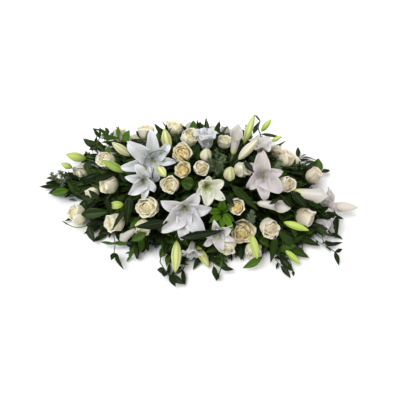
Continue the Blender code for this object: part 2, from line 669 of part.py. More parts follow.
def list_heads():
    """Every bloom and bud with the place that it would have if its neighbours left room."""
    heads = []
    for name, px, facing, length, spread, tips in LILIES:
        axis = turned(facing)
        point = on_shell(px) + TOWARD * LILY_OUT
        heads.append(make_head("lily", name, point, axis, LILY_FACE * length * MM, 0.0,
                               length=length * MM, spread=spread, tips=tips))
    for name, place, length, spread, tips in BACK_LILIES:
        point, axis = behind_shell(place)
        heads.append(make_head("lily", name, point, axis, LILY_FACE * length * MM, 0.0,
                               length=length * MM, spread=spread, tips=tips))
    for name, px, facing, length in CALLAS:
        axis = turned(facing)
        head = make_head("calla", name, on_shell(px), axis, 0.0, 0.0, length=length * MM)
        lip = head["axes"].transposed() @ -TOWARD
        head["axes"] = head["axes"] @ Matrix.Rotation(math.atan2(lip.y, lip.x), 3, "Z")
        heads.append(head)
    name, place, length = BACK_CALLA
    point, axis = behind_shell(place)
    heads.append(make_head("calla", name, point, axis, BACK_CALLA_SUNK, 0.0, length=length * MM))
    for name, px, facing, length, width in BUDS:
        point = on_shell(px) + TOWARD * BUD_OUT
        heads.append(make_head("bud", name, point, turned(facing), 0.0, 0.0,
                               length=length * MM, across=width * MM))
    for k, (name, px, facing, across, spread) in enumerate(ROSES):
        tall = across * ROSE_HEIGHT * MM
        heads.append(make_head("rose", name, on_shell(px), turned(facing), ROSE_FACE * tall, ROSE_ROLL * k,
                               across=across * MM, open=spread))
    for name, places in BACK_ROSES:
        for k, place in enumerate(places):
            point, axis = behind_shell(place)
            tall = BACK_ROSE_ACROSS * ROSE_HEIGHT * MM
            heads.append(make_head("rose", name, point, axis, ROSE_FACE * tall, BACK_ROSE_ROLL * k,
                                   across=BACK_ROSE_ACROSS * MM, open=BACK_ROSE_OPEN))
    return heads


def settle_heads(heads, space):
    """Moves each head by the smallest step that clears the heads before it."""
    moves = small_moves()
    for number, head in enumerate(heads):
        start = head["foot"].copy()
        for move in moves:
            head["foot"] = start + move
            if space.clear(head_shapes(head, stub(head), True)):
                break
        else:
            print("no room for", head["node"], head["kind"], number)
            head["foot"] = start
        for shape in head_shapes(head, stub(head)):
            space.add(number, shape)


def mouths():
    """Every place on the foam where a stem may go in, with the way into that face."""
    along = [s * (FIRST_MOUTH + MOUTH_PITCH * k) for k in range(MOUTHS_ALONG) for s in (-1, 1)]
    across = [MOUTH_PITCH * k for k in range(-MOUTHS_ACROSS, MOUTHS_ACROSS + 1)]
    found = [(Vector((x, y, FOAM_TOP)), Vector((0, 0, -1))) for x in along for y in across]
    for s in (-1, 1):
        found += [(Vector((x, s * FOAM_SIDE, z)), Vector((0, -s, 0))) for x in along for z in MOUTH_LEVELS]
        found += [(Vector((s * FOAM_END, y, z)), Vector((-s, 0, 0))) for y in across for z in MOUTH_LEVELS]
    return found


def core_of(point):
    """The point of the spray's inner line that the greenery round a point grows away from."""
    return Vector((CORE_SHARE * point.x, 0, SHELL_FOOT))


def natural_mouth(foot):
    """Where a straight line from the foot towards the core would go into the foam."""
    core = core_of(foot)
    line = foot - core
    shares = [(math.copysign(FOAM_END, line.x) - core.x) / line.x, FOAM_SIDE / abs(line.y)]
    if line.z > 0:
        shares.append((FOAM_TOP - core.z) / line.z)
    return core + line * min(shares)


def in_holder(point, margin):
    """True where a point lies in the foam or the tray, or within the margin of them."""
    past_foam = max(abs(point.x) - FOAM_END, abs(point.y) - FOAM_SIDE)
    in_foam = max(past_foam, point.z - FOAM_TOP) < margin
    edge = TRAY_WALL + TRAY_LIP + FIT_GAP
    return in_foam or max(past_foam - edge, point.z - TRAY_HEIGHT) < margin


def fits_brick(mouth, end):
    """True where a whole hole lies inside one brick."""
    one_brick = mouth.x * end.x > 0 and min(abs(mouth.x), abs(end.x)) > HOLE_EDGE
    room = abs(end.x) < FOAM_END - HOLE_EDGE and abs(end.y) < FOAM_SIDE - HOLE_EDGE
    return one_brick and room and end.z > TRAY_WALL + HOLE_FLOOR


def hole_is_free(mouth, way, radius, holes):
    for other, other_way, other_radius in holes:
        for share in (0.0, 0.5, 1.0):
            for other_share in (0.0, 0.5, 1.0):
                gap = (mouth + way * STEM_DEPTH * share) - (other + other_way * STEM_DEPTH * other_share)
                if gap.length < radius + other_radius + HOLE_WALL:
                    return False
    return True


def bend(start, leave, end, arrive, reach, sway):
    """A smooth path that leaves the start and reaches the end in given directions, and may sway aside."""
    pull = (end - start).length * reach
    near, far = start + leave * pull + sway * 0.5, end - arrive * pull + sway
    return [cubic(start, near, far, end, k / STEM_STEPS) for k in range(STEM_STEPS + 1)]


def bend_choices(rng, count):
    """Ways to bend a stem, the plain ones first."""
    loose = [Vector([rng.uniform(-1, 1) for _ in range(3)]) * LOOSE_SWAY for _ in range(count)]
    plain = [(reach, Vector()) for reach in PLAIN_REACHES]
    return plain + [(rng.uniform(*LOOSE_REACHES), sway) for sway in loose]


def stem_tube(path, side, radius, count):
    shape = Shape()
    last = add_stem(shape, path, side, radius, count)
    shape.skin(last, shape.ring([path[0]]))
    return shape


def route_to_foam(head, number, places, holes, space):
    """Finds a clear way for a stem from a head to a free place on the foam."""
    leave = -head["axes"].col[2]
    start = head["foot"] + leave * 4 * MM
    radius = STEMS[head["kind"]][0]
    natural = natural_mouth(start)
    choices = bend_choices(random.Random(SEED + number), STEM_SWAYS)
    for mouth, inward in sorted(places, key=lambda place: (place[0] - natural).length)[:MOUTHS_TRIED]:
        way = (inward * 0.75 + (mouth - start).normalized() * 0.5).normalized()
        end = mouth + way * STEM_DEPTH
        if not fits_brick(mouth, end) or not hole_is_free(mouth, way, radius, holes):
            continue
        for reach, sway in choices:
            outer = bend(start, leave, mouth - way * STEM_STRAIGHT, way, reach, sway)
            if any(in_holder(point, radius + 1 * MM) for point in outer):
                continue
            if any(in_holder((a + b) / 2, radius + 1 * MM) for a, b in zip(outer, outer[1:])):
                continue
            tube = stem_tube(outer, head["axes"].col[0], radius + CLEARANCE, ROUND_TUBE)
            if space.clear([tube], (number,)):
                holes.append((mouth, way, radius))
                return [head["foot"]] + outer[1:] + [mouth, end]
    print("no stem route for", head["node"])
    return None


def route_to_stem(head, number, main_path, joins, main, space):
    """Finds a clear way for a side stalk from a head to its main stem."""
    leave = -head["axes"].col[2]
    start = head["foot"] + leave * 3 * MM
    radius = STEMS[head["kind"]][0]
    choices = bend_choices(random.Random(SEED + number), STALK_SWAYS)
    for join in joins:
        down = (main_path[join + 1] - main_path[join - 1]).normalized()
        for reach, sway in choices:
            for share in (0.7, 0.2):
                end = main_path[join]
                arrive = ((end - start).normalized() * 0.5 + down * share).normalized()
                outer = bend(start, leave, end, arrive, reach, sway)
                middles = [(a + b) / 2 for a, b in zip(outer, outer[1:])]
                if any(in_holder(point, radius + 1 * MM) for point in outer[:-1] + middles):
                    continue
                tube = stem_tube(outer, head["axes"].col[0], radius + CLEARANCE, ROUND_TUBE)
                if space.clear([tube], (number, ("stem", main))):
                    return [head["foot"]] + outer[1:]
    return None


def route_stems(heads, holes, space):
    """Gives every head the path of its stem, the main stem of each flower first."""
    places = mouths()
    mains = {}
    for number, head in enumerate(heads):
        if head["node"] in mains:
            continue
        mains[head["node"]] = number
        head["path"] = route_to_foam(head, number, places, holes, space)
        if head["path"]:
            space.add(("stem", number), stem_tube(head["path"], head["axes"].col[0], *STEMS[head["kind"]]))
    for number, head in enumerate(heads):
        if mains[head["node"]] == number:
            continue
        hosts = [mains[head["node"]]]
        if head["kind"] == "bud":
            others = [main for main in mains.values() if heads[main]["kind"] in ("lily", "bud")]
            others.remove(hosts[0])
            others.sort(key=lambda main: (heads[main]["foot"] - head["foot"]).length)
            hosts += others[:OTHER_HOSTS]
        joins = (3, 2, 4) if head["kind"] == "rose" else (1, 2, 3, 4)
        for main in hosts:
            host = heads[main]["path"]
            path = host and route_to_stem(head, number, host, joins, main, space)
            if path:
                head["path"], head["node"] = path, heads[main]["node"]
                space.add(("stem", number), stem_tube(path, head["axes"].col[0], *STEMS[head["kind"]]))
                break
        else:
            head["path"] = None
            print("no stalk route for", head["node"], head["kind"], number)
    return mains


def leaf_sections(form, base, along, up, length, half_width, extra=0.0):
    """The sections and the tip of a pointed leaf, a little folded along its rib and drooping to its tip."""
    side = up.cross(along).normalized()
    up = along.cross(side)
    sections = []
    for share, wide in form:
        middle = base + along * length * share - up * length * LEAF_DROOP * share * share
        sections.append((middle, side, up, half_width * wide + extra, half_width * wide * LEAF_FOLD))
    return sections, base + along * length - up * length * LEAF_DROOP


def leaf_shape(form, base, along, up, length, half_width, extra=0.0):
    """A leaf by itself, for trying its place: one with extra room also starts sooner and ends later."""
    shape = Shape()
    before = LEAF_START if extra else 0.0
    base = base - along * before
    sections, tip = leaf_sections(form, base, along, up, length + before + extra, half_width, extra)
    blade_rings(shape, shape.ring([base]), sections, tip, BLADE_THICK + extra)
    return shape


def outward_at(point):
    """The way out of the greenery at a point: away from the core, and up near the table."""
    out = point - core_of(point)
    return (out.normalized() + Vector((0, 0, UPWARD))).normalized()


def sprig_tip(px, height):
    return on_shell(px) + TOWARD * SPRIG_OUT if height is None else at_height(px, height * MM)


def along_path(path, distance):
    """The point of a path at a distance from its end, and the way it runs there."""
    for a, b in zip(path[-2::-1], path[:0:-1]):
        length = (b - a).length
        if distance <= length or a is path[0]:
            return b + (a - b) * (distance / length), (b - a).normalized()
        distance -= length


def corner_distances(path):
    """How far each point of a path lies from its end."""
    found = [0.0]
    for a, b in zip(path[-2::-1], path[:0:-1]):
        found.append(found[-1] + (b - a).length)
    return found


def upright_side(point, along):
    up = outward_at(point)
    return (up - along * up.dot(along)).normalized()


def sprig_leaves(path, kind, owners, space, rng):
    """Leaves on alternate sides of a sprig from its tip inwards, each one only where it has room."""
    pitch, length, half_width = [size * MM for size in LEAVES[kind]]
    corners = corner_distances(path)
    made = []
    distance, hand = pitch * 0.6, rng.choice((-1, 1))
    while distance < corners[-1] * LEAFY_SHARE and len(made) < MOST_LEAVES:
        for corner in corners:
            if abs(distance - corner) < 3 * PETIOLE:
                distance = corner + 3 * PETIOLE
        point, along = along_path(path, distance)
        up = upright_side(point, along)
        side = along.cross(up)
        for size, angle, tilt in itertools.product(LEAF_SIZES, LEAF_ANGLES, LEAF_TILTS):
            spread = math.radians(angle)
            way = along * math.cos(spread) + side * hand * math.sin(spread) + up * tilt
            way.normalize()
            foot = point + (side * hand + up * 0.5).normalized() * SPRIG_STEM
            sizes = (length * size, half_width * size)
            if space.clear([leaf_shape(SIDE_LEAF, foot, way, up, *sizes, LEAF_CLEARANCE)], owners):
                leaf = {"distance": distance, "hand": hand, "foot": foot, "way": way, "up": up, "size": size}
                made.append(leaf)
                space.add("leaf", leaf_shape(SIDE_LEAF, foot, way, up, *sizes))
                break
        distance += pitch * rng.uniform(0.85, 1.15)
        hand = -hand
    return made


def sprig_shape(sprig):
    """A sprig in one skin: a three-sided stem with leaves out of its two upper sides, and one at its tip."""
    shape = Shape()
    path, kind = sprig["path"], sprig["kind"]
    _, length, half_width = [size * MM for size in LEAVES[kind]]
    stations = [(distance, None) for distance in corner_distances(path)]
    for leaf in sprig["leaves"]:
        stations += [(leaf["distance"] + PETIOLE, None), (leaf["distance"] - PETIOLE, leaf)]
    last = None
    for distance, leaf in sorted(stations, key=lambda station: -station[0]):
        point, along = along_path(path, distance)
        ring = shape.ring(round_ring(point, along, upright_side(point, along), SPRIG_STEM, 3))
        if last is None:
            shape.close_foot(ring)
        elif leaf is None:
            shape.skin(last, ring)
        else:
            open_side = 0 if leaf["hand"] < 0 else 2
            for k in range(3):
                nxt = (k + 1) % 3
                if k != open_side:
                    shape.face(last[k], ring[nxt], ring[k])
                    shape.face(last[k], last[nxt], ring[nxt])
            nxt = (open_side + 1) % 3
            base = [last[open_side], last[nxt], ring[nxt], ring[open_side]]
            size = leaf["size"]
            sizes = (length * size, half_width * size)
            sections, tip = leaf_sections(SIDE_LEAF, leaf["foot"], leaf["way"], leaf["up"], *sizes)
            middle, side, normal, width, _ = sections[0]
            base = turned_to(shape, base, shape.ring([middle + side * width])[:1])
            shape.points.pop()
            blade_rings(shape, base, sections, tip, BLADE_THICK)
        last = ring
    point, along = along_path(path, 0.0)
    sections, tip = leaf_sections(TIP_LEAF, point, along, upright_side(point, along), length, half_width)
    middle, side, normal, width, _ = sections[0]
    shape.points.append(middle + side * width)
    last = turned_to(shape, last, [len(shape.points) - 1])
    shape.points.pop()
    blade_rings(shape, last, sections, tip, BLADE_THICK)
    return shape


def grow_sprig(root, leave, px, height, kind, owners, space, rng):
    """A sprig from its bunch's root out to its tip leaf, on a way that its neighbours leave free."""
    length, half_width = LEAVES[kind][1] * MM, LEAVES[kind][2] * MM
    for attempt in range(SPRIG_TRIES):
        loose = Vector([rng.uniform(-1, 1) for _ in range(3)]) * min(attempt, LOOSE_TIP) * MM
        tip = sprig_tip(px, height) + loose
        tip.z = max(tip.z, LOWEST_TIP)
        out = (tip - core_of(tip)).normalized()
        flat = Vector((out.x, out.y, 0)).normalized()
        lead = (out * 0.5 + flat * 0.8).normalized() if height is None else (out + flat * 0.4).normalized()
        stop = tip - lead * length
        stop.z = max(stop.z, LOWEST_TIP)
        sway = Vector([rng.uniform(-1, 1) for _ in range(3)]) * min(attempt, SPRIG_SWAYS) * SWAY_STEP
        pull = (stop - root).length
        second = root + (leave * 0.5 + (stop - root).normalized()) * pull * 0.2 + sway * 0.6
        third = stop - lead * pull * 0.35 - Vector((0, 0, 0.1)) * pull + sway
        path = [cubic(root, second, third, stop, k / SPRIG_STEPS) for k in range(SPRIG_STEPS + 1)]
        room = SPRIG_STEM + CLEARANCE
        lowest = min(point.z for point in path)
        if lowest < LOWEST_LEAF + room or any(in_holder(point, room) for point in path[1:]):
            continue
        tube = stem_tube(path[::-1], lead.orthogonal().normalized(), room, ROUND_TUBE)
        end, along = along_path(path, 0.0)
        leaf = leaf_shape(TIP_LEAF, end, along, upright_side(end, along), length, half_width, LEAF_CLEARANCE)
        if space.clear([tube], owners) and space.clear([leaf]):
            return path
    print("no way for a sprig to", px)
    return None


def grow_bunches(space, rng):
    """Every bunch of greens: its root, the sprigs that fan out of it and their leaves."""
    bunches = []
    for name, root, leave, sprigs in BUNCHES:
        mouth, leave = Vector(root) * MM, Vector(leave)
        start = mouth + leave * ROOT_STUB
        bunch = {"node": name, "mouth": mouth, "leave": leave, "sprigs": []}
        owner = ("bunch", name)
        for k, (px, height, kind) in enumerate(sprigs):
            apart = Vector([rng.uniform(-1, 1) for _ in range(3)]) * 1.5 * MM
            foot = start - leave * (3 + k) * MM + apart - leave * apart.dot(leave)
            path = grow_sprig(foot, leave, px, height, kind, (owner,), space, rng)
            if path:
                _, length, half_width = [size * MM for size in LEAVES[kind]]
                bunch["sprigs"].append({"path": path, "kind": kind})
                side = leave.orthogonal().normalized()
                space.add(owner, stem_tube(path[::-1], side, SPRIG_STEM, ROUND_TUBE))
                end, along = along_path(path, 0.0)
                up = upright_side(end, along)
                space.add("leaf", leaf_shape(TIP_LEAF, end, along, up, length, half_width))
        bunches.append(bunch)
    for bunch in bunches:
        owner = ("bunch", bunch["node"])
        for sprig in bunch["sprigs"]:
            sprig["leaves"] = sprig_leaves(sprig["path"], sprig["kind"], (owner,), space, rng)
    return bunches


def root_path(bunch):
    mouth, leave = bunch["mouth"], bunch["leave"]
    return [mouth + leave * ROOT_STUB, mouth, mouth - leave * STEM_DEPTH]


def bunch_shapes(bunch):
    side = bunch["leave"].orthogonal().normalized()
    root = stem_tube(root_path(bunch), side, BUNCH_STEM, 4)
    return [root] + [sprig_shape(sprig) for sprig in bunch["sprigs"]]


def material_of(kind):
    if kind in bpy.data.materials:
        return bpy.data.materials[kind]
    material = bpy.data.materials.new(kind)
    material.use_nodes = True
    surface = material.node_tree.nodes["Principled BSDF"]
    surface.inputs["Base Color"].default_value = (*COLOURS[kind], 1.0)
    surface.inputs["Roughness"].default_value = ROUGHNESS[kind]
    surface.inputs["Metallic"].default_value = 0.0
    return material


def mesh_of(name, shape, origin):
    mesh = bpy.data.meshes.new(name)
    mesh.from_pydata([point - origin for point in shape.points], [], shape.faces)
    mesh.update()
    return mesh


def combine(name, base, others, operation, solver):
    """Applies one Boolean of a collection of shapes to the base object, then removes those objects."""
    group = bpy.data.collections.new(name + "_parts")
    bpy.context.scene.collection.children.link(group)
    for k, shape in enumerate(others):
        part = bpy.data.objects.new(f"{name}_{k}", mesh_of(f"{name}_{k}", shape, Vector()))
        group.objects.link(part)
    modifier = base.modifiers.new("combine", "BOOLEAN")
    modifier.operation = operation
    modifier.operand_type = "COLLECTION"
    modifier.collection = group
    modifier.solver = solver
    bpy.context.view_layer.update()
    graph = bpy.context.evaluated_depsgraph_get()
    mesh = bpy.data.meshes.new_from_object(base.evaluated_get(graph))
    base.modifiers.clear()
    base.data = mesh
    for part in list(group.objects):
        bpy.data.objects.remove(part)
    bpy.data.collections.remove(group)


def keep_main_body(mesh):
    """Fills the small hollows that joining sealed, and drops any scrap, by keeping only the widest skin."""
    work = bmesh.new()
    work.from_mesh(mesh)
    left = set(work.verts)
    bodies = []
    while left:
        body, edge = set(), [left.pop()]
        while edge:
            vert = edge.pop()
            body.add(vert)
            for link in vert.link_edges:
                other = link.other_vert(vert)
                if other in left:
                    left.remove(other)
                    edge.append(other)
        bodies.append(body)
    bodies.sort(key=len)
    for body in bodies[:-1]:
        bmesh.ops.delete(work, geom=list(body), context="VERTS")
    work.to_mesh(mesh)
    work.free()


def add_piece(name, kind, shapes, origin, holder):
    """One node: its shapes joined in one solid, with its origin where it goes into the foam."""
    piece = bpy.data.objects.new(name, mesh_of(name, shapes[0], Vector()))
    bpy.context.scene.collection.objects.link(piece)
    if len(shapes) > 1:
        combine(name, piece, shapes[1:], "UNION", "MANIFOLD")
        keep_main_body(piece.data)
    piece.data.transform(Matrix.Translation(-origin))
    piece.location = origin
    piece.parent = holder
    piece.data.materials.clear()
    piece.data.materials.append(material_of(kind))
    piece.data.shade_smooth()
    piece.data.set_sharp_from_angle(angle=SMOOTH_ANGLE)
    return piece


def rounded_outline(half_x, half_y, corner, height):
    """A rectangle with round corners, anticlockwise seen from above."""
    points = []
    for quarter, (sx, sy) in enumerate(((1, 1), (-1, 1), (-1, -1), (1, -1))):
        for step in range(TRAY_CORNER_STEPS + 1):
            angle = math.pi / 2 * (quarter + step / TRAY_CORNER_STEPS)
            x = sx * (half_x - corner) + corner * math.cos(angle)
            y = sy * (half_y - corner) + corner * math.sin(angle)
            points.append(Vector((x, y, height)))
    return points


def tray_shape():
    """A trough with a flat base, upright walls and a turned-out lip."""
    shape = Shape()
    inner_x, inner_y = FOAM_END + FIT_GAP, FOAM_SIDE + FIT_GAP
    wall, lip = TRAY_WALL, TRAY_WALL + TRAY_LIP
    profile = (
        (wall, TRAY_CORNER, 0.0), (wall, TRAY_CORNER, TRAY_HEIGHT - 4 * MM),
        (lip, TRAY_CORNER, TRAY_HEIGHT - 3 * MM), (lip, TRAY_CORNER, TRAY_HEIGHT),
        (0.0, BRICK_CORNER, TRAY_HEIGHT), (0.0, BRICK_CORNER, TRAY_WALL),
    )
    rings = []
    for out, corner, height in profile:
        rings.append(shape.ring(rounded_outline(inner_x + out, inner_y + out, corner, height)))
    shape.close_foot(rings[0])
    for lower, upper in zip(rings, rings[1:]):
        shape.skin(lower, upper)
    shape.close_foot(rings[-1][::-1])
    return shape


def brick_shape(side):
    shape = Shape()
    near, far = sorted((side * FIT_GAP / 2, side * FOAM_END))
    corners = ((far, FOAM_SIDE), (near, FOAM_SIDE), (near, -FOAM_SIDE), (far, -FOAM_SIDE))
    low = shape.ring([Vector((x, y, TRAY_WALL + FIT_GAP)) for x, y in corners])
    high = shape.ring([Vector((x, y, FOAM_TOP)) for x, y in corners])
    shape.close_foot(low)
    shape.skin(low, high)
    shape.close_foot(high[::-1])
    return shape


def hole_shape(path, side, radius, count):
    """The plain hole for the straight end of a stem, a little wider and deeper than the stem."""
    mouth, way, turn = frames_along(path, side)[-2]
    top = mouth - way * (STEM_STRAIGHT - 1 * MM)
    end = path[-1] + way * HOLE_PAST_STEM
    shape = Shape()
    low = shape.ring(round_ring(end, -way, turn, radius + HOLE_GAP, count))
    high = shape.ring(round_ring(top, -way, turn, radius + HOLE_GAP, count))
    shape.close_foot(low)
    shape.skin(low, high)
    shape.close_foot(high[::-1])
    return shape


def build():
    for old in list(bpy.data.objects):
        bpy.data.objects.remove(old)
    holder = bpy.data.objects.new("casket_spray", None)
    bpy.context.scene.collection.objects.link(holder)
    space = Space()
    heads = list_heads()
    settle_heads(heads, space)
    holes = [(Vector(root) * MM, -Vector(leave), BUNCH_STEM) for _, root, leave, _ in BUNCHES]
    for name, root, leave, _ in BUNCHES:
        mouth, leave = Vector(root) * MM, Vector(leave)
        stub_path = [mouth + leave * ROOT_STUB, mouth]
        side = leave.orthogonal().normalized()
        space.add(("bunch", name), stem_tube(stub_path, side, BUNCH_STEM + 1 * MM, 4))
    mains = route_stems(heads, holes, space)
    bunches = grow_bunches(space, random.Random(SEED))
    drills = {-1: [], 1: []}
    for name, main in mains.items():
        shapes = []
        for head in heads:
            if head["node"] == name and head["path"]:
                shapes += head_shapes(head, head["path"])
        head = heads[main]
        if not head["path"]:
            continue
        kind = {"bud": "lily"}.get(head["kind"], head["kind"])
        add_piece(name, kind, shapes, head["path"][-2], holder)
        drill = hole_shape(head["path"], head["axes"].col[0], *STEMS[head["kind"]])
        drills[1 if head["path"][-1].x > 0 else -1].append(drill)
    for bunch in bunches:
        add_piece(bunch["node"], "greens", bunch_shapes(bunch), bunch["mouth"], holder)
        side = bunch["leave"].orthogonal().normalized()
        drill = hole_shape(root_path(bunch), side, BUNCH_STEM, 4)
        drills[1 if bunch["mouth"].x > 0 else -1].append(drill)
    add_piece("tray", "tray", [tray_shape()], Vector(), holder)
    for name, side in (("foam_left", -1), ("foam_right", 1)):
        brick = add_piece(name, "foam", [brick_shape(side)], Vector(), holder)
        combine(name, brick, drills[side], "DIFFERENCE", "EXACT")
        brick.data.materials.clear()
        brick.data.materials.append(material_of("foam"))


build()
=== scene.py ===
"""Casket spray: blooms, buds, leaves, foam and tray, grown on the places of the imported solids."""

import math
import random

import bmesh
import bpy
import numpy as np
from mathutils import Matrix, Vector
from mathutils.bvhtree import BVHTree


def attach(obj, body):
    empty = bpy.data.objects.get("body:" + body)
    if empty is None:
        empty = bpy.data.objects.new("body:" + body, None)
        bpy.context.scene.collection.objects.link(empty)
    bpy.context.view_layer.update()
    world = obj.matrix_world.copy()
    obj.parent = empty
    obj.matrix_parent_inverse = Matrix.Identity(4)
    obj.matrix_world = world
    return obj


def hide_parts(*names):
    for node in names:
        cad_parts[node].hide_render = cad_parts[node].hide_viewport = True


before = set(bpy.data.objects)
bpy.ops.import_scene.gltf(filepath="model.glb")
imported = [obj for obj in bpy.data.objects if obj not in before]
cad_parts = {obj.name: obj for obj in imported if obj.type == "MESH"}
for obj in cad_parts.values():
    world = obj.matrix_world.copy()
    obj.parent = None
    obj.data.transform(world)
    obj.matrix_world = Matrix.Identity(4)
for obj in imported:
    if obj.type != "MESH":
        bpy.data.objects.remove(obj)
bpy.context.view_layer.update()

MM = 0.001
SEED = 11
FLOOR_NEAR = 4 * MM  # what lies lower than this is pressed flat towards the floor

# The photograph's line of sight
SIGHT_ELEVATION = math.radians(50)
SIGHT_TURN = math.radians(5)
SIGHT_DISTANCE = 2.2
SIGHT_TARGET = Vector((0.006, -0.012, 0.03))
METRES_PER_PX = 1.20 / 317
PHOTO_SIDE = 400
SENSOR = 36.0
TOWARD = Vector((
    math.sin(SIGHT_TURN) * math.cos(SIGHT_ELEVATION),
    -math.cos(SIGHT_TURN) * math.cos(SIGHT_ELEVATION),
    math.sin(SIGHT_ELEVATION),
))
RIGHT = Vector((math.cos(SIGHT_TURN), math.sin(SIGHT_TURN), 0.0))
UP = TOWARD.cross(RIGHT)
EYE = SIGHT_TARGET + TOWARD * SIGHT_DISTANCE

# The dome that the heads sit on, and the foam under it.
DOME = Vector((0.475, 0.255, 0.235))
DOME_FOOT = 0.03
FOAM_HALF = Vector((0.230, 0.055, 0.0829))

# How the solids draw each head: shares of its size at the last ring and at the tip.
ROSE_RING = (0.12, 0.82, 1.02)  # radius of the width, then heights of the tall
ROSE_TALL = 0.90  # of its width
ROSE_REACH = (1.12, 0.10)  # widest petal tip of the half-width, and what opening adds to it
PISTIL_RING = (0.014, 0.60, 0.65)
SPADIX_RING = (0.026, 0.62, 0.68)
BUD_RING = (0.64, 0.84, 1.00)
BUD_FURROW = 0.86
THROAT_ANGLE = math.radians(14)
TEPAL_BEND = 1.25
TEPAL_LAST = (0.85, 0.66)  # last section of a tepal: its place along it and its width
TEPAL_WIDTHS = (0.19, 0.14)
BLADE_THICK = 1.5 * MM
LEAF_LAST = {"side": (0.42, 1.00), "tip": (0.68, 0.80)}
LEAF_SIZES = (1.0, 0.8, 0.64)
LEAF_DROOP = 0.10
LEAF_KINDS = {"ruscus": (56, 10), "lily_leaf": (120, 12), "salal": (84, 22), "fern": (40, 5)}
# How far up its size each head parts from its stem, and a leaf from its twig
HEAD_FROM = {"rose": 0.05, "lily": 0.03, "calla": 0.08, "bud": 0.015}
LEAF_FROM = 0.2

# How closely a tip of the solids has to match these: in metres, and then as shares
SAME_POINT = 1e-6
THICK_SLACK = 0.03 * MM
LIFT_SLACK = 0.05 * MM
LEAF_SLACK = 0.6 * MM
EVEN_SLACK = 0.03
ROSE_SLACK = 0.05
FURROW_SLACK = 0.02
STALK_SLACK = 0.15
SQUARE_SLACK = 0.02


# Formulas inside node trees

class Field:
    """A value in a node tree that takes part in formulas as a number does."""

    def __init__(self, tree, socket):
        self.tree = tree
        self.socket = socket

    def math(self, operation, *values, clamp=False):
        node = self.tree.nodes.new("ShaderNodeMath")
        node.operation = operation
        node.use_clamp = clamp
        for slot, value in zip(node.inputs, values):
            if isinstance(value, Field):
                self.tree.links.new(value.socket, slot)
            else:
                slot.default_value = value
        return Field(self.tree, node.outputs[0])

    def __add__(self, other):
        return self.math("ADD", self, other)

    def __radd__(self, other):
        return self.math("ADD", other, self)

    def __sub__(self, other):
        return self.math("SUBTRACT", self, other)

    def __rsub__(self, other):
        return self.math("SUBTRACT", other, self)

    def __mul__(self, other):
        return self.math("MULTIPLY", self, other)

    def __truediv__(self, other):
        return self.math("DIVIDE", self, other)

    def __pow__(self, other):
        return self.math("POWER", self, other)

    def sin(self):
        return self.math("SINE", self)

    def cos(self):
        return self.math("COSINE", self)

    def abs(self):
        return self.math("ABSOLUTE", self)

    def least(self, other):
        return self.math("MINIMUM", self, other)

    def most(self, other):
        return self.math("MAXIMUM", self, other)

    def clamped(self):
        return self.math("ADD", self, 0.0, clamp=True)


def linked(tree, kind, output=0, settings=None, **inputs):
    """A node with its inputs joined or set by their names; gives one of its outputs."""
    node = tree.nodes.new(kind)
    for name, value in (settings or {}).items():
        setattr(node, name, value)
    for name, value in inputs.items():
        slot = node.inputs[name.replace("_", " ")]
        if isinstance(value, Field):
            tree.links.new(value.socket, slot)
        elif isinstance(value, bpy.types.NodeSocket):
            tree.links.new(value, slot)
        else:
            slot.default_value = value
    return node.outputs[output]


def parts_of(tree, vector):
    """The three numbers of a vector."""
    node = tree.nodes.new("ShaderNodeSeparateXYZ")
    tree.links.new(vector, node.inputs[0])
    return [Field(tree, socket) for socket in node.outputs]


def new_tree(name, kind, inputs, outputs):
    """An empty node group with named inputs and outputs.

    Each input is its name, its kind of socket and its value, and each output its name and kind.
    """
    tree = bpy.data.node_groups.new(name, kind)
    for words, socket, value in inputs:
        made = tree.interface.new_socket(words, in_out="INPUT", socket_type="NodeSocket" + socket)
        if value is not None:
            made.default_value = value
    for words, socket in outputs:
        tree.interface.new_socket(words, in_out="OUTPUT", socket_type="NodeSocket" + socket)
    start, end = tree.nodes.new("NodeGroupInput"), tree.nodes.new("NodeGroupOutput")
    return tree, start.outputs, end.inputs


# Geometry trees: curved blades and round stems

BLADE_VECTORS = ("start", "size", "bend", "outline", "form", "tone")
ROWS_TO_TIP = 1.6  # how much closer a blade's rows lie towards its tip, which keeps it round
BLUNTEST = 0.05  # width of a blade's very tip, as a share
WAVE_LAG = 0.9  # radians by which the waves of one edge run ahead of the middle


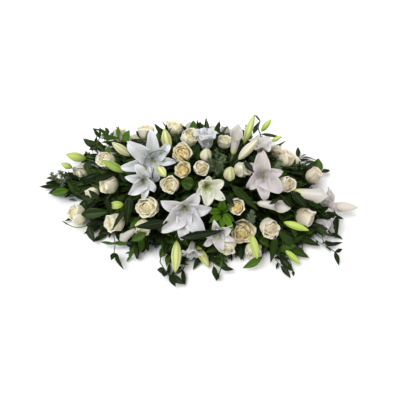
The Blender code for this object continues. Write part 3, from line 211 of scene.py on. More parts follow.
def build_blade_tree():
    """A tree that grows one blade on each point: a petal, a tepal, a sepal or a leaf.

    Along its middle a blade follows two arcs, from the first bend to the second and on to the third.
    """
    tree, given, result = new_tree("Curved blades", "GeometryNodeTree", (
        ("Geometry", "Geometry", None), ("Quads across", "Int", 4), ("Quads along", "Int", 6),
        ("Roll from", "Float", 0.7), ("Crease", "Float", 0.1), ("Waves", "Float", 2.0),
        ("Material", "Material", None),
    ), (("Geometry", "Geometry"),))
    across = Field(tree, given["Quads across"]) + 1
    along = Field(tree, given["Quads along"]) + 1
    sheet = linked(
        tree, "GeometryNodeMeshGrid", Size_X=2.0, Size_Y=1.0, Vertices_X=across, Vertices_Y=along,
    )
    over, up, _ = parts_of(tree, linked(tree, "GeometryNodeInputPosition"))
    up = 1.0 - (0.5 - up).most(0.0) ** ROWS_TO_TIP
    place = linked(tree, "ShaderNodeCombineXYZ", X=over, Y=up)
    store = tree.nodes.new("GeometryNodeStoreNamedAttribute")
    store.data_type = "FLOAT_VECTOR"
    store.inputs["Name"].default_value = "place"
    tree.links.new(sheet, store.inputs["Geometry"])
    tree.links.new(place, store.inputs["Value"])
    put = linked(tree, "GeometryNodeInstanceOnPoints", Points=given["Geometry"], Instance=store.outputs[0])
    put = linked(tree, "GeometryNodeRealizeInstances", Geometry=put)

    def vector(name, kind="FLOAT_VECTOR"):
        return linked(tree, "GeometryNodeInputNamedAttribute", settings={"data_type": kind}, Name=name)

    u, v, _ = parts_of(tree, vector("place"))
    length, half_width, foot = parts_of(tree, vector("size"))
    first, second, third = parts_of(tree, vector("bend"))
    widest, sharp, blunt = parts_of(tree, vector("outline"))
    cup, wave, phase = parts_of(tree, vector("form"))
    roll = Field(tree, given["Roll from"])

    lower = (v / roll).least(1.0)
    upper = ((v - roll) / (1.0 - roll)).most(0.0)
    turn, last_turn = second - first, third - second
    angle = first + turn * lower
    reach = (first.cos() - angle.cos()) / turn * roll
    height = (angle.sin() - first.sin()) / turn * roll
    tip_angle = second + last_turn * upper
    reach = (reach + (second.cos() - tip_angle.cos()) / last_turn * (1.0 - roll)) * length
    height = (height + (tip_angle.sin() - second.sin()) / last_turn * (1.0 - roll)) * length
    angle = angle + last_turn * upper

    rise = foot + (1.0 - foot) * ((v / widest).least(1.0) * (math.pi / 2)).sin()
    past = ((v - widest) / (1.0 - widest)).most(0.0).least(1.0)
    fall = ((1.0 - past ** sharp).most(0.0) ** blunt).most(BLUNTEST)
    width = half_width * rise * fall
    across_angle = u * cup
    side = width * across_angle.sin() / cup
    ripple = (v * Field(tree, given["Waves"]) * (2 * math.pi) + phase + u * WAVE_LAG).sin()
    lift = width * (1.0 - across_angle.cos()) / cup + half_width * wave * u * u * ripple
    lift = lift - width * Field(tree, given["Crease"]) * (1.0 - u.abs()) ** 3.0
    x = reach - angle.cos() * lift
    z = height + angle.sin() * lift
    local = linked(tree, "ShaderNodeCombineXYZ", X=x, Y=side, Z=z)
    turned = linked(tree, "FunctionNodeRotateVector", Vector=local, Rotation=vector("turn", "QUATERNION"))
    moved = linked(tree, "ShaderNodeVectorMath", settings={"operation": "ADD"}, Vector=turned)
    tree.links.new(vector("start"), moved.node.inputs[1])
    shaped = linked(tree, "GeometryNodeSetPosition", Geometry=put, Position=moved)
    smooth = linked(tree, "GeometryNodeSetShadeSmooth", Geometry=shaped)
    whole = linked(tree, "GeometryNodeRealizeInstances", Geometry=smooth)
    done = linked(tree, "GeometryNodeSetMaterial", Geometry=whole, Material=given["Material"])
    tree.links.new(done, result[0])
    return tree


def build_tube_tree():
    """A tree that gives lines a round skin: stems, stalks and filaments."""
    tree, given, result = new_tree("Round stems", "GeometryNodeTree", (
        ("Geometry", "Geometry", None), ("Sides", "Int", 6), ("Material", "Material", None),
    ), (("Geometry", "Geometry"),))
    thick = linked(tree, "GeometryNodeInputNamedAttribute", settings={"data_type": "FLOAT"}, Name="thick")
    line = linked(tree, "GeometryNodeMeshToCurve", Mesh=given["Geometry"])
    line = linked(tree, "GeometryNodeSetCurveRadius", Curve=line, Radius=thick)
    ring = linked(tree, "GeometryNodeCurvePrimitiveCircle", Resolution=given["Sides"], Radius=1.0)
    skin = linked(tree, "GeometryNodeCurveToMesh", Curve=line, Profile_Curve=ring, Fill_Caps=True)
    if "Scale" in skin.node.inputs:
        tree.links.new(thick, skin.node.inputs["Scale"])
    smooth = linked(tree, "GeometryNodeSetShadeSmooth", Geometry=skin)
    whole = linked(tree, "GeometryNodeRealizeInstances", Geometry=smooth)
    done = linked(tree, "GeometryNodeSetMaterial", Geometry=whole, Material=given["Material"])
    tree.links.new(done, result[0])
    return tree


def settled(holder):
    """The plain mesh that an object's modifiers make; the object and its own mesh are used up."""
    mesh = holder.data
    depsgraph = bpy.context.evaluated_depsgraph_get()
    result = bpy.data.meshes.new_from_object(holder.evaluated_get(depsgraph))
    bpy.data.objects.remove(holder)
    bpy.data.meshes.remove(mesh)
    return result


def grown(mesh, tree, thickness, **inputs):
    """The plain mesh that a geometry tree, and then a wall thickness, make of a mesh."""
    holder = bpy.data.objects.new("growing", mesh)
    bpy.context.scene.collection.objects.link(holder)
    if tree:
        modifier = holder.modifiers.new("grow", "NODES")
        modifier.node_group = tree
        for socket in tree.interface.items_tree:
            name = socket.name.replace(" ", "_")
            if name in inputs:
                modifier[socket.identifier] = inputs[name]
    if thickness:
        wall = holder.modifiers.new("wall", "SOLIDIFY")
        wall.thickness = thickness
        wall.offset = 0.0
    return settled(holder)


def blade(start, axes, length, half_width, bend, outline, form, foot, tone):
    """One blade, which starts at a place and bends from the third axis towards the first.

    bend: its three angles in degrees. outline: where it is widest, and how sharp and how blunt it ends.
    form: how cupped and how wavy it is, and where its waves start. foot: its width there, as a share.
    """
    return {
        "start": start, "turn": axes.to_quaternion(), "size": (length, half_width, foot),
        "bend": [math.radians(angle) for angle in bend], "outline": outline, "form": form, "tone": tone,
    }


def blade_mesh(blades, thickness, material, across, along, roll, crease, waves):
    """Blades of one kind as a plain mesh; BUILDS says what the numbers are."""
    mesh = bpy.data.meshes.new("blades")
    mesh.vertices.add(len(blades))
    mesh.vertices.foreach_set("co", np.array([b["start"][:] for b in blades], np.float32).ravel())
    for name in BLADE_VECTORS:
        layer = mesh.attributes.new(name, "FLOAT_VECTOR", "POINT")
        layer.data.foreach_set("vector", np.array([b[name][:] for b in blades], np.float32).ravel())
    layer = mesh.attributes.new("turn", "QUATERNION", "POINT")
    layer.data.foreach_set("value", np.array([b["turn"][:] for b in blades], np.float32).ravel())
    return grown(
        mesh, BLADES, thickness, Quads_across=across, Quads_along=along, Roll_from=roll, Crease=crease,
        Waves=waves, Material=material,
    )


def tube_mesh(lines, material, sides):
    """Round skins on lines; a line is its points and its radius at each of them."""
    points, edges, thick = [], [], []
    for line, radii in lines:
        edges += [(len(points) + k, len(points) + k + 1) for k in range(len(line) - 1)]
        points += [p[:] for p in line]
        thick += list(radii)
    mesh = bpy.data.meshes.new("lines")
    mesh.from_pydata(points, edges, [])
    mesh.attributes.new("thick", "FLOAT", "POINT").data.foreach_set("value", np.array(thick, np.float32))
    return grown(mesh, TUBES, 0.0, Sides=sides, Material=material)


# Pieces gathered from several meshes

class Piece:
    """The points, faces and values of one piece while it is put together."""

    def __init__(self):
        self.points, self.faces, self.slots = [], [], []
        self.values = {"place": [], "tone": []}

    def add(self, points, faces, slot, place=None, tone=None):
        """Points and faces with one finish, and what each point tells it."""
        shift = len(self.points)
        self.points += [tuple(p) for p in points]
        self.faces += [tuple(shift + i for i in face) for face in faces]
        self.slots += [slot] * len(faces)
        blank = [(0.0, 0.0, 0.0)] * len(points)
        self.values["place"] += blank if place is None else [tuple(p) for p in place]
        self.values["tone"] += blank if tone is None else [tuple(p) for p in tone]

    def add_mesh(self, mesh, slot):
        """A finished mesh, which is used up."""
        given = {}
        for name in ("place", "tone"):
            layer = mesh.attributes.get(name)
            if layer is not None:
                flat = np.zeros(len(mesh.vertices) * 3, np.float32)
                layer.data.foreach_get("vector", flat)
                given[name] = flat.reshape(-1, 3).tolist()
        points = np.zeros(len(mesh.vertices) * 3, np.float32)
        mesh.vertices.foreach_get("co", points)
        faces = [tuple(face.vertices) for face in mesh.polygons]
        self.add(points.reshape(-1, 3).tolist(), faces, slot, given.get("place"), given.get("tone"))
        bpy.data.meshes.remove(mesh)

    def rest_on_floor(self):
        """What would dip below the floor lies nearly flat on it."""
        for i, (x, y, z) in enumerate(self.points):
            if z < FLOOR_NEAR:
                self.points[i] = (x, y, FLOOR_NEAR * math.exp(z / FLOOR_NEAR - 1.0))

    def finish(self, name, materials, node, slot):
        """The whole piece as an object, which stands for a node of the frame."""
        mesh = bpy.data.meshes.new(name)
        mesh.from_pydata(self.points, [], self.faces)
        for key, values in self.values.items():
            layer = mesh.attributes.new(key, "FLOAT_VECTOR", "POINT")
            layer.data.foreach_set("vector", np.array(values, np.float32).ravel())
        for material in materials:
            mesh.materials.append(material)
        mesh.polygons.foreach_set("material_index", np.array(self.slots, np.int32))
        mesh.shade_smooth()
        piece = bpy.data.objects.new(name, mesh)
        bpy.context.scene.collection.objects.link(piece)
        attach(piece, "root")
        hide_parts(node)
        return piece


def wrapped_rings(rings):
    """Points and faces of a skin through rings of equal length, closed at both ends."""
    count = len(rings[0])
    points = [p for ring in rings for p in ring]
    faces = []
    for row in range(len(rings) - 1):
        low, high = row * count, (row + 1) * count
        for k in range(count):
            after = (k + 1) % count
            faces.append((low + k, low + after, high + after, high + k))
    faces.append(tuple(reversed(range(count))))
    faces.append(tuple((len(rings) - 1) * count + k for k in range(count)))
    return points, faces


# Sums and shapes that several pieces share

GOLDEN_TURN = math.radians(137.5)
FULL_TURN = 2 * math.pi


def between(low, high, share):
    """A value on the way from one to another."""
    return low + (high - low) * share


def axes_from(axis, side):
    """Turns +Z to the axis and +X towards the side."""
    axis = axis.normalized()
    side = (side - axis * side.dot(axis)).normalized()
    return Matrix((side, axis.cross(side), axis)).transposed()


def squared(way, axis):
    """What is left of a direction at right angles to an axis, of unit length."""
    return (way - axis * way.dot(axis)).normalized()


def round_about(axes, angle):
    """The direction at an angle round the third axis."""
    return axes @ Vector((math.cos(angle), math.sin(angle), 0))


def stray(rng, reach=1.0):
    """A random way to lean, no further than this along each axis."""
    return Vector([rng.uniform(-reach, reach) for _ in range(3)])


def bezier(a, b, c, d, steps):
    """Points of the curve that leaves a towards b and reaches d from c."""
    line = []
    for k in range(steps + 1):
        t = k / steps
        s = 1 - t
        line.append(a * s ** 3 + b * 3 * s * s * t + c * 3 * s * t * t + d * t ** 3)
    return line


def pixel_of(point):
    """Where the photograph shows a point."""
    way = point - EYE
    depth = -way.dot(TOWARD) / SIGHT_DISTANCE * METRES_PER_PX
    return PHOTO_SIDE / 2 + way.dot(RIGHT) / depth, PHOTO_SIDE / 2 - way.dot(UP) / depth


def lathe(foot, axes, rings, sides, bulge=None):
    """Rings turned round an axis, each its radius and height; bulge widens them by the angle."""
    made = []
    for radius, height in rings:
        ring = []
        for k in range(sides):
            angle = FULL_TURN * k / sides
            reach = radius * (bulge(angle) if bulge else 1.0)
            ring.append(foot + axes @ Vector((math.cos(angle) * reach, math.sin(angle) * reach, height)))
        made.append(ring)
    return wrapped_rings(made)


def any_angle(rng):
    """A random angle in radians."""
    return rng.uniform(0, 6.3)


# Places read off the solids

class Solid:
    """A CAD node's mesh with its doubles merged, and the ring of neighbours round each point."""

    def __init__(self, node):
        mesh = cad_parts[node].data
        mesh.calc_loop_triangles()
        points = np.zeros(len(mesh.vertices) * 3)
        mesh.vertices.foreach_get("co", points)
        corners = np.zeros(len(mesh.loop_triangles) * 3, np.int32)
        mesh.loop_triangles.foreach_get("vertices", corners)
        rounded = np.round(points.reshape(-1, 3) / SAME_POINT).astype(np.int64)
        _, first, index = np.unique(rounded, axis=0, return_index=True, return_inverse=True)
        self.points = [Vector(p) for p in points.reshape(-1, 3)[first]]
        self.faces = index.reshape(-1)[corners].reshape(-1, 3).tolist()
        self.after = [{} for _ in self.points]
        for a, b, c in self.faces:
            self.after[a][b] = c
            self.after[b][c] = a
            self.after[c][a] = b

    def fan(self, index):
        """The neighbours of a point in their order round it."""
        after = self.after[index]
        ring = [next(iter(after))]
        while after.get(ring[-1], ring[0]) != ring[0]:
            ring.append(after[ring[-1]])
        return ring

    def part_above(self, index, foot, axis, least):
        """Every point joined to this one that lies further than least along the axis."""
        found, todo = {index}, [index]
        while todo:
            for other in self.after[todo.pop()]:
                if other not in found and (self.points[other] - foot).dot(axis) > least:
                    found.add(other)
                    todo.append(other)
        return found

    def without(self, gone):
        """What is left of the solid without some points, its holes closed and their rims kept sharp."""
        mesh = bmesh.new()
        crease = mesh.edges.layers.float.new("crease_edge")
        kept = {}
        for face in self.faces:
            if gone.intersection(face):
                continue
            for index in face:
                if index not in kept:
                    kept[index] = mesh.verts.new(self.points[index])
            mesh.faces.new([kept[index] for index in face])
        rims = [edge for edge in mesh.edges if edge.is_boundary]
        for edge in rims:
            edge[crease] = 1.0
        bmesh.ops.holes_fill(mesh, edges=rims, sides=0)
        return mesh


def even(values):
    """Whether radii are as good as equal."""
    return max(values) - min(values) < EVEN_SLACK * max(values)


def read_round_tip(solid, index, ring):
    """A rose, lily, calla or bud from the last ring below its tip, or None."""
    corners = [solid.points[i] for i in ring]
    middle = sum(corners, Vector()) / len(corners)
    tip = solid.points[index]
    rise = (tip - middle).length
    radii = [(corner - middle).length for corner in corners]
    if rise < SAME_POINT or min(radii) < SAME_POINT:
        return None
    axis = (tip - middle) / rise
    axes = axes_from(axis, corners[0] - middle)
    if len(ring) == 5 and even(radii):
        across = sum(radii) / 5 / ROSE_RING[0]
        if abs(rise - (ROSE_RING[2] - ROSE_RING[1]) * ROSE_TALL * across) < ROSE_SLACK * rise:
            foot = tip - axis * ROSE_RING[2] * ROSE_TALL * across
            return {"kind": "rose", "foot": foot, "axes": axes, "across": across}
    if len(ring) == 6 and even(radii[::2]) and even(radii[1::2]):
        first = 0 if radii[0] > radii[1] else 1
        if abs(radii[1 - first] / radii[first] - BUD_FURROW) < FURROW_SLACK:
            length = rise / (BUD_RING[2] - BUD_RING[1])
            return {
                "kind": "bud", "foot": tip - axis * length, "length": length,
                "axes": axes_from(axis, corners[first] - middle), "across": 2 * radii[first] / BUD_RING[0],
            }
    if len(ring) == 4 and even(radii):
        for kind, (radius, low, high) in (("lily", PISTIL_RING), ("calla", SPADIX_RING)):
            if abs(rise / radii[0] - (high - low) / radius) < STALK_SLACK * rise / radii[0]:
                length = rise / (high - low)
                return {"kind": kind, "foot": tip - axis * high * length, "axes": axes, "length": length}
    return None


def read_blade_tip(solid, index, ring):
    """The tip of a leaf or tepal: its way, its upper side and the size of its last section, or None."""
    if len(ring) != 4:
        return None
    tip = solid.points[index]
    for k in (0, 1):
        thin = [solid.points[ring[k]], solid.points[ring[k + 2]]]
        wide = [solid.points[ring[1 - k]], solid.points[ring[3 - k]]]
        middle = (thin[0] + thin[1]) / 2
        up = thin[0] - thin[1]
        if abs(up.length - BLADE_THICK) > THICK_SLACK:
            continue
        up.normalize()
        reaches = [corner - middle for corner in wide]
        side = (reaches[0] - reaches[1]).normalized()
        lift = (reaches[0] + reaches[1]) / 2
        if abs(side.dot(up)) > SQUARE_SLACK or abs(abs(lift.dot(up)) - lift.length) > LIFT_SLACK:
            continue
        if lift.dot(up) < 0:
            up = -up
        along = up.cross(side).normalized()
        if (tip - middle).dot(along) < 0:
            along = -along
        return {
            "tip": tip, "along": along, "up": up, "reach": (tip - middle).dot(along),
            "half_width": (reaches[0] - reaches[1]).length / 2,
        }
    return None


def leaf_of(found):
    """The leaf that a blade tip belongs to, by the sizes that leaves of its kind have, or None."""
    best = None
    for kind, (length, half_width) in LEAF_KINDS.items():
        for form, (share, wide) in LEAF_LAST.items():
            for size in LEAF_SIZES:
                long, half = length * MM * size, half_width * MM * size
                error = abs(found["half_width"] - half * wide) + abs(found["reach"] - long * (1 - share))
                if best is None or error < best[0]:
                    best = (error, kind, long, half)
    error, kind, long, half = best
    if error > LEAF_SLACK:
        return None
    base = found["tip"] - found["along"] * long + found["up"] * long * LEAF_DROOP
    return {
        "kind": kind, "base": base, "along": found["along"], "up": found["up"], "length": long,
        "half_width": half,
    }


def read_node(node):
    """The heads and leaves of a node, its stems alone, and the whole solid."""
    solid = Solid(node)
    heads, leaves, tepals, gone = [], [], [], set()
    for index in range(len(solid.points)):
        ring = solid.fan(index)
        if len(ring) not in (4, 5, 6):
            continue
        head = read_round_tip(solid, index, ring)
        if head:
            head["node"] = node
            head["tip_index"] = index
            heads.append(head)
            continue
        found = read_blade_tip(solid, index, ring)
        if not found:
            continue
        if node.startswith("greens"):
            leaf = leaf_of(found)
            if leaf:
                leaves.append(leaf)
                gone |= solid.part_above(index, leaf["base"], leaf["along"], LEAF_FROM * leaf["length"])
        elif node.startswith("lily"):
            tepals.append(found)
    for head in heads:
        size = head["across"] * ROSE_TALL if head["kind"] == "rose" else head["length"]
        least = HEAD_FROM[head["kind"]] * size
        mine = solid.part_above(head["tip_index"], head["foot"], head["axes"].col[2], least)
        gone |= mine
        local = [head["axes"].transposed() @ (solid.points[i] - head["foot"]) for i in mine]
        if head["kind"] == "rose":
            wide = max(local, key=lambda p: p.to_2d().length)
            reach = 2 * wide.to_2d().length / head["across"]
            head["open"] = min(max((reach - ROSE_REACH[0]) / ROSE_REACH[1], 0.0), 1.0)
            head["lobe"] = math.atan2(wide.y, wide.x)
        elif head["kind"] == "calla":
            lip = max(local, key=lambda p: p.z)
            head["axes"] = head["axes"] @ Matrix.Rotation(math.atan2(lip.y, lip.x), 3, "Z")
        elif head["kind"] == "lily":
            head["tepals"] = tepals
    return {"heads": heads, "leaves": leaves, "stems": solid.without(gone), "solid": solid}


# Effects that several materials share

def build_vein_group():
    """From the place on a blade to a mask of its middle rib and one of the fine veins that run off it."""
    tree, given, result = new_tree("Blade veins", "ShaderNodeTree", (
        ("Across", "Float", 0.0), ("Along", "Float", 0.0), ("Veins", "Float", 10.0),
        ("Slant", "Float", 0.5), ("Rib width", "Float", 0.1),
    ), (("Veins", "Float"), ("Rib", "Float")))
    across = Field(tree, given["Across"]).abs()
    along = Field(tree, given["Along"])
    run = along - across * Field(tree, given["Slant"])
    wave = (run * Field(tree, given["Veins"]) * math.pi).sin().abs()
    veins = (1.0 - wave) ** 5.0
    rib = (1.0 - across / Field(tree, given["Rib width"])).clamped()
    tree.links.new(veins.socket, result["Veins"])
    tree.links.new(rib.socket, result["Rib"])
    return tree


def build_mottle_group():
    """Soft patches and fine grain over a surface, from its own coordinates."""
    tree, given, result = new_tree("Soft mottle", "ShaderNodeTree", (
        ("Patches", "Float", 40.0), ("Grain", "Float", 600.0),
    ), (("Patches", "Float"), ("Grain", "Float")))
    spot = linked(tree, "ShaderNodeTexCoord", output=3)
    patches = linked(tree, "ShaderNodeTexNoise", Vector=spot, Scale=given["Patches"], Detail=2.0)
    grain = linked(tree, "ShaderNodeTexNoise", Vector=spot, Scale=given["Grain"], Detail=1.0)
    tree.links.new(patches, result["Patches"])
    tree.links.new(grain, result["Grain"])
    return tree


class Finish:
    """A material while its nodes are put together."""

    def __init__(self, name, roughness, **settings):
        self.material = bpy.data.materials.new(name)
        self.material.use_nodes = True
        self.tree = self.material.node_tree
        self.shader = self.tree.nodes["Principled BSDF"]
        self.shader.inputs["Roughness"].default_value = roughness
        for words, value in settings.items():
            self.shader.inputs[words.replace("_", " ")].default_value = value

    def attribute(self, name):
        """The three numbers that each point of a piece holds under a name."""
        node = self.tree.nodes.new("ShaderNodeAttribute")
        node.attribute_name = name
        return parts_of(self.tree, node.outputs["Vector"])

    def group(self, tree, **inputs):
        """A shared effect with this material's values; gives its outputs."""
        node = self.tree.nodes.new("ShaderNodeGroup")
        node.node_tree = tree
        for words, value in inputs.items():
            slot = node.inputs[words.replace("_", " ")]
            if isinstance(value, Field):
                self.tree.links.new(value.socket, slot)
            else:
                slot.default_value = value
        return [Field(self.tree, socket) for socket in node.outputs]

    def mix(self, share, low, high):
        """A colour between two others."""
        node = self.tree.nodes.new("ShaderNodeMix")
        node.data_type = "RGBA"
        self.tree.links.new(share.clamped().socket, node.inputs[0])
        for slot, value in ((node.inputs[6], low), (node.inputs[7], high)):
            if isinstance(value, bpy.types.NodeSocket):
                self.tree.links.new(value, slot)
            else:
                slot.default_value = (*value, 1.0)
        return node.outputs[2]

    def colour(self, socket):
        self.tree.links.new(socket, self.shader.inputs["Base Color"])

    def roughness(self, value):
        self.tree.links.new(value.clamped().socket, self.shader.inputs["Roughness"])

    def relief(self, height, strength, distance):
        bump = self.tree.nodes.new("ShaderNodeBump")
        bump.inputs["Strength"].default_value = strength
        bump.inputs["Distance"].default_value = distance
        self.tree.links.new(height.socket, bump.inputs["Height"])
        self.tree.links.new(bump.outputs[0], self.shader.inputs["Normal"])


BLADES = build_blade_tree()
TUBES = build_tube_tree()
VEINS = build_vein_group()
MOTTLE = build_mottle_group()

# Colours, as linear red, green and blue
ROSE_HEART = (0.99, 0.80, 0.25)
ROSE_IVORY = (0.97, 0.88, 0.51)
ROSE_EDGE = (0.97, 0.92, 0.73)
# Painted warm light, laid low on each petal where light bounces and shines through between the petals
ROSE_PAINTED_BOUNCE = (0.99, 0.82, 0.36)
ROSE_FOOT = (0.84, 0.77, 0.36)
ROSE_WARM = (0.99, 0.70, 0.14)
# Painted pinkish shade, laid on the roses towards the right end of the spray
ROSE_PAINTED_SHADE = (0.74, 0.55, 0.38)
LILY_WHITE = (0.70, 0.71, 0.73)
LILY_COOL = (0.64, 0.66, 0.70)
LILY_BLUSH = (0.51, 0.43, 0.40)
LILY_CREAM = (0.67, 0.65, 0.48)
LILY_GREEN = (0.42, 0.49, 0.14)
LILY_VEIN = (0.47, 0.48, 0.52)
BUD_LIME = (0.36, 0.50, 0.045)
BUD_PALE = (0.56, 0.66, 0.18)
BUD_GREEN = (0.14, 0.25, 0.02)
BUD_CREAM = (0.74, 0.68, 0.35)
BUD_WHITE = (0.62, 0.58, 0.50)
BUD_RIB = (0.24, 0.36, 0.04)
CALLA_WHITE = (0.53, 0.50, 0.46)
CALLA_CREAM = (0.48, 0.44, 0.37)
CALLA_GREEN = (0.48, 0.52, 0.08)
PISTIL_PALE = (0.56, 0.60, 0.28)
PISTIL_GREEN = (0.32, 0.42, 0.10)
SPADIX_YELLOW = (0.80, 0.50, 0.05)
SPADIX_DARK = (0.50, 0.27, 0.02)
LEAF_DARK = (0.003, 0.006, 0.0010)
LEAF_MID = (0.010, 0.020, 0.0022)
LEAF_LIME = (0.12, 0.27, 0.012)
LEAF_RIB = (0.05, 0.09, 0.022)
FERN_DARK = (0.035, 0.055, 0.022)
FERN_PALE = (0.27, 0.34, 0.18)
STEM_DARK = (0.020, 0.050, 0.010)
STEM_LIGHT = (0.07, 0.13, 0.03)
FOAM_WET = (0.020, 0.070, 0.035)
FOAM_GREEN = (0.040, 0.120, 0.060)
# Painted shade in the foam's open pores
FOAM_PORE_SHADE = (0.010, 0.035, 0.018)
TRAY_GREEN = (0.010, 0.045, 0.020)
TRAY_LIGHT = (0.018, 0.065, 0.030)
FLOOR_PALE = (0.94, 0.94, 0.94)
FLOOR_SHADE = (0.90, 0.90, 0.91)
PETAL_GLOW = (1.0, 0.9, 0.7)  # how far red, green and blue light spread inside a petal


# Finishes; every share in them is how much of the second colour a spot gets

def rose_finish():
    """Ivory petals, warm yellow in the heart, a touch of green at the foot, painted warm light low on each
    petal, and painted pinkish shade on the roses at the right end of the spray.
    """
    finish = Finish(
        "rose petal", 0.6, Subsurface_Weight=0.6, Subsurface_Scale=9 * MM, Subsurface_Radius=PETAL_GLOW,
        Sheen_Weight=0.25,
    )
    across, along, _ = finish.attribute("place")
    layer, painted_shade, warm = finish.attribute("tone")
    veins, _ = finish.group(VEINS, Across=across, Along=along, Veins=14.0, Slant=0.8, Rib_width=0.1)
    patches, grain = finish.group(MOTTLE, Patches=55.0, Grain=900.0)
    colour = finish.mix(layer * 1.6 + patches * 0.3 - 0.10, ROSE_HEART, ROSE_IVORY)
    colour = finish.mix((along - 0.40) * 1.5 * layer, colour, ROSE_EDGE)
    # Painted light: warmer yellow towards each petal's foot, standing in for light that bounces and shines
    # through between the petals
    colour = finish.mix((0.86 - along) * 1.2, colour, ROSE_PAINTED_BOUNCE)
    colour = finish.mix((0.26 - along) * 3.0, colour, ROSE_FOOT)
    colour = finish.mix((warm * 1.15 - layer * 0.8) * 0.9 + veins * 0.05, colour, ROSE_WARM)
    # Painted shade: pinkish darkening on the roses towards the right end of the spray
    colour = finish.mix(painted_shade, colour, ROSE_PAINTED_SHADE)
    finish.colour(colour)
    finish.relief(veins * 0.4 + grain * 0.6, 0.25, 0.4 * MM)
    return finish.material


def lily_finish():
    """White tepals with a green throat, a faint rib and lengthwise veins."""
    finish = Finish(
        "lily tepal", 0.5, Subsurface_Weight=0.6, Subsurface_Scale=7 * MM, Subsurface_Radius=PETAL_GLOW,
    )
    across, along, _ = finish.attribute("place")
    blush, loose, cream = finish.attribute("tone")
    veins, rib = finish.group(
        VEINS, Across=across, Along=across.abs() * 0.9, Veins=6.0, Slant=0.0, Rib_width=0.16,
    )
    patches, grain = finish.group(MOTTLE, Patches=30.0, Grain=700.0)
    colour = finish.mix(patches * 0.7 + loose * 0.3, LILY_WHITE, LILY_COOL)
    colour = finish.mix(blush, colour, LILY_BLUSH)
    colour = finish.mix(cream, colour, LILY_CREAM)
    colour = finish.mix(rib * (1.0 - along) * 0.6, colour, LILY_GREEN)
    colour = finish.mix((0.20 + cream * 0.34 - along) * 3.0, colour, LILY_GREEN)
    colour = finish.mix(veins * 0.2, colour, LILY_VEIN)
    finish.colour(colour)
    finish.relief(veins * 0.5 + grain * (0.35 - along).most(0.0) * 2.0 + rib * -0.8, 0.35, 0.8 * MM)
    return finish.material


def bud_finish():
    """A closed bud: lime when young, cream with green ribs when ripe."""
    finish = Finish("lily bud", 0.5)
    ridge, along, turn = finish.attribute("place")
    ripe, _, _ = finish.attribute("tone")
    rib = (ridge * 0.5 + 0.5) ** 7.0
    seam = (0.5 - ridge * 0.5) ** 11.0
    patches, grain = finish.group(MOTTLE, Patches=60.0, Grain=900.0)
    streaks = (turn * (26 * math.pi)).sin() * 0.5 + 0.5
    ends = ((0.20 - along) * 3.0).most(0.0) + ((along - 0.86) * 3.5).most(0.0)
    young = finish.mix(streaks * 0.35 + seam * 0.4 + patches * 0.2, BUD_LIME, BUD_PALE)
    young = finish.mix(rib * 0.6 + ends * 0.6 + (ripe * -0.5).clamped(), young, BUD_GREEN)
    old = finish.mix(rib * 0.95 + seam * 0.9 + streaks * 0.12 + ends, BUD_CREAM, BUD_RIB)
    pale = finish.mix((ripe - 0.9) * 4.0 - rib * 0.8, old, BUD_WHITE)
    finish.colour(finish.mix(ripe, young, pale))
    finish.relief(rib + grain * 0.2, 0.3, 0.6 * MM)
    return finish.material


def calla_finish():
    """A waxy white spathe with fine lengthwise ribs, green at the foot."""
    finish = Finish("calla spathe", 0.42, Coat_Weight=0.1)
    _, along, _ = finish.attribute("place")
    turn, green, _ = finish.attribute("tone")
    patches, grain = finish.group(MOTTLE, Patches=26.0, Grain=800.0)
    ribs = (turn * (44 * math.pi)).sin() * 0.5 + 0.5
    colour = finish.mix(patches * 0.5 + ribs * 0.14, CALLA_WHITE, CALLA_CREAM)
    colour = finish.mix((0.42 + green * 0.2 - along) * 2.4, colour, CALLA_GREEN)
    finish.colour(colour)
    finish.relief(ribs * 0.5 + grain * 0.3, 0.2, 0.4 * MM)
    return finish.material


def pollen_finish():
    """The yellow, grainy spadix of a calla, and the pale green pistils and filaments."""
    finish = Finish("spadix and pistil", 0.7)
    _, _, yellow = finish.attribute("tone")
    patches, grain = finish.group(MOTTLE, Patches=300.0, Grain=1400.0)
    pale = finish.mix(patches, PISTIL_PALE, PISTIL_GREEN)
    rich = finish.mix(grain * 1.4 - 0.2, SPADIX_DARK, SPADIX_YELLOW)
    finish.colour(finish.mix(yellow, pale, rich))
    finish.relief(grain, 0.8, 0.6 * MM)
    return finish.material


def leaf_finish():
    """Leaves from dark and glossy to bright lime, by each leaf's own tone, with a rib and side veins."""
    finish = Finish("leaf", 0.3, Specular_IOR_Level=0.12)
    across, along, _ = finish.attribute("place")
    bright, loose, broad = finish.attribute("tone")
    veins, rib = finish.group(VEINS, Across=across, Along=along, Veins=9.0, Slant=0.42, Rib_width=0.13)
    patches, grain = finish.group(MOTTLE, Patches=70.0, Grain=800.0)
    dark = finish.mix(loose * 0.8 + patches * 0.3, LEAF_DARK, LEAF_MID)
    colour = finish.mix(bright, dark, LEAF_LIME)
    colour = finish.mix(rib * 0.5 + veins * 0.22 * (broad + 0.3), colour, LEAF_RIB)
    finish.colour(colour)
    finish.roughness(0.24 + patches * 0.16 + veins * 0.05)
    finish.relief(veins * -0.7 - rib + grain * 0.15, 0.45, 0.7 * MM)
    return finish.material


def stem_finish():
    """Green stems, mottled light and dark."""
    finish = Finish("stem", 0.45)
    patches, grain = finish.group(MOTTLE, Patches=45.0, Grain=500.0)
    finish.colour(finish.mix(patches * 1.2 - 0.1, STEM_DARK, STEM_LIGHT))
    finish.roughness(0.38 + grain * 0.2)
    finish.relief(grain, 0.3, 0.4 * MM)
    return finish.material


def fern_finish():
    """The grey-green needles of ming fern."""
    finish = Finish("fern needle", 0.6)
    _, along, _ = finish.attribute("place")
    _, loose, _ = finish.attribute("tone")
    patches, _ = finish.group(MOTTLE, Patches=90.0, Grain=600.0)
    finish.colour(finish.mix(loose * 0.7 + along * 0.3 + patches * 0.3 - 0.15, FERN_DARK, FERN_PALE))
    return finish.material


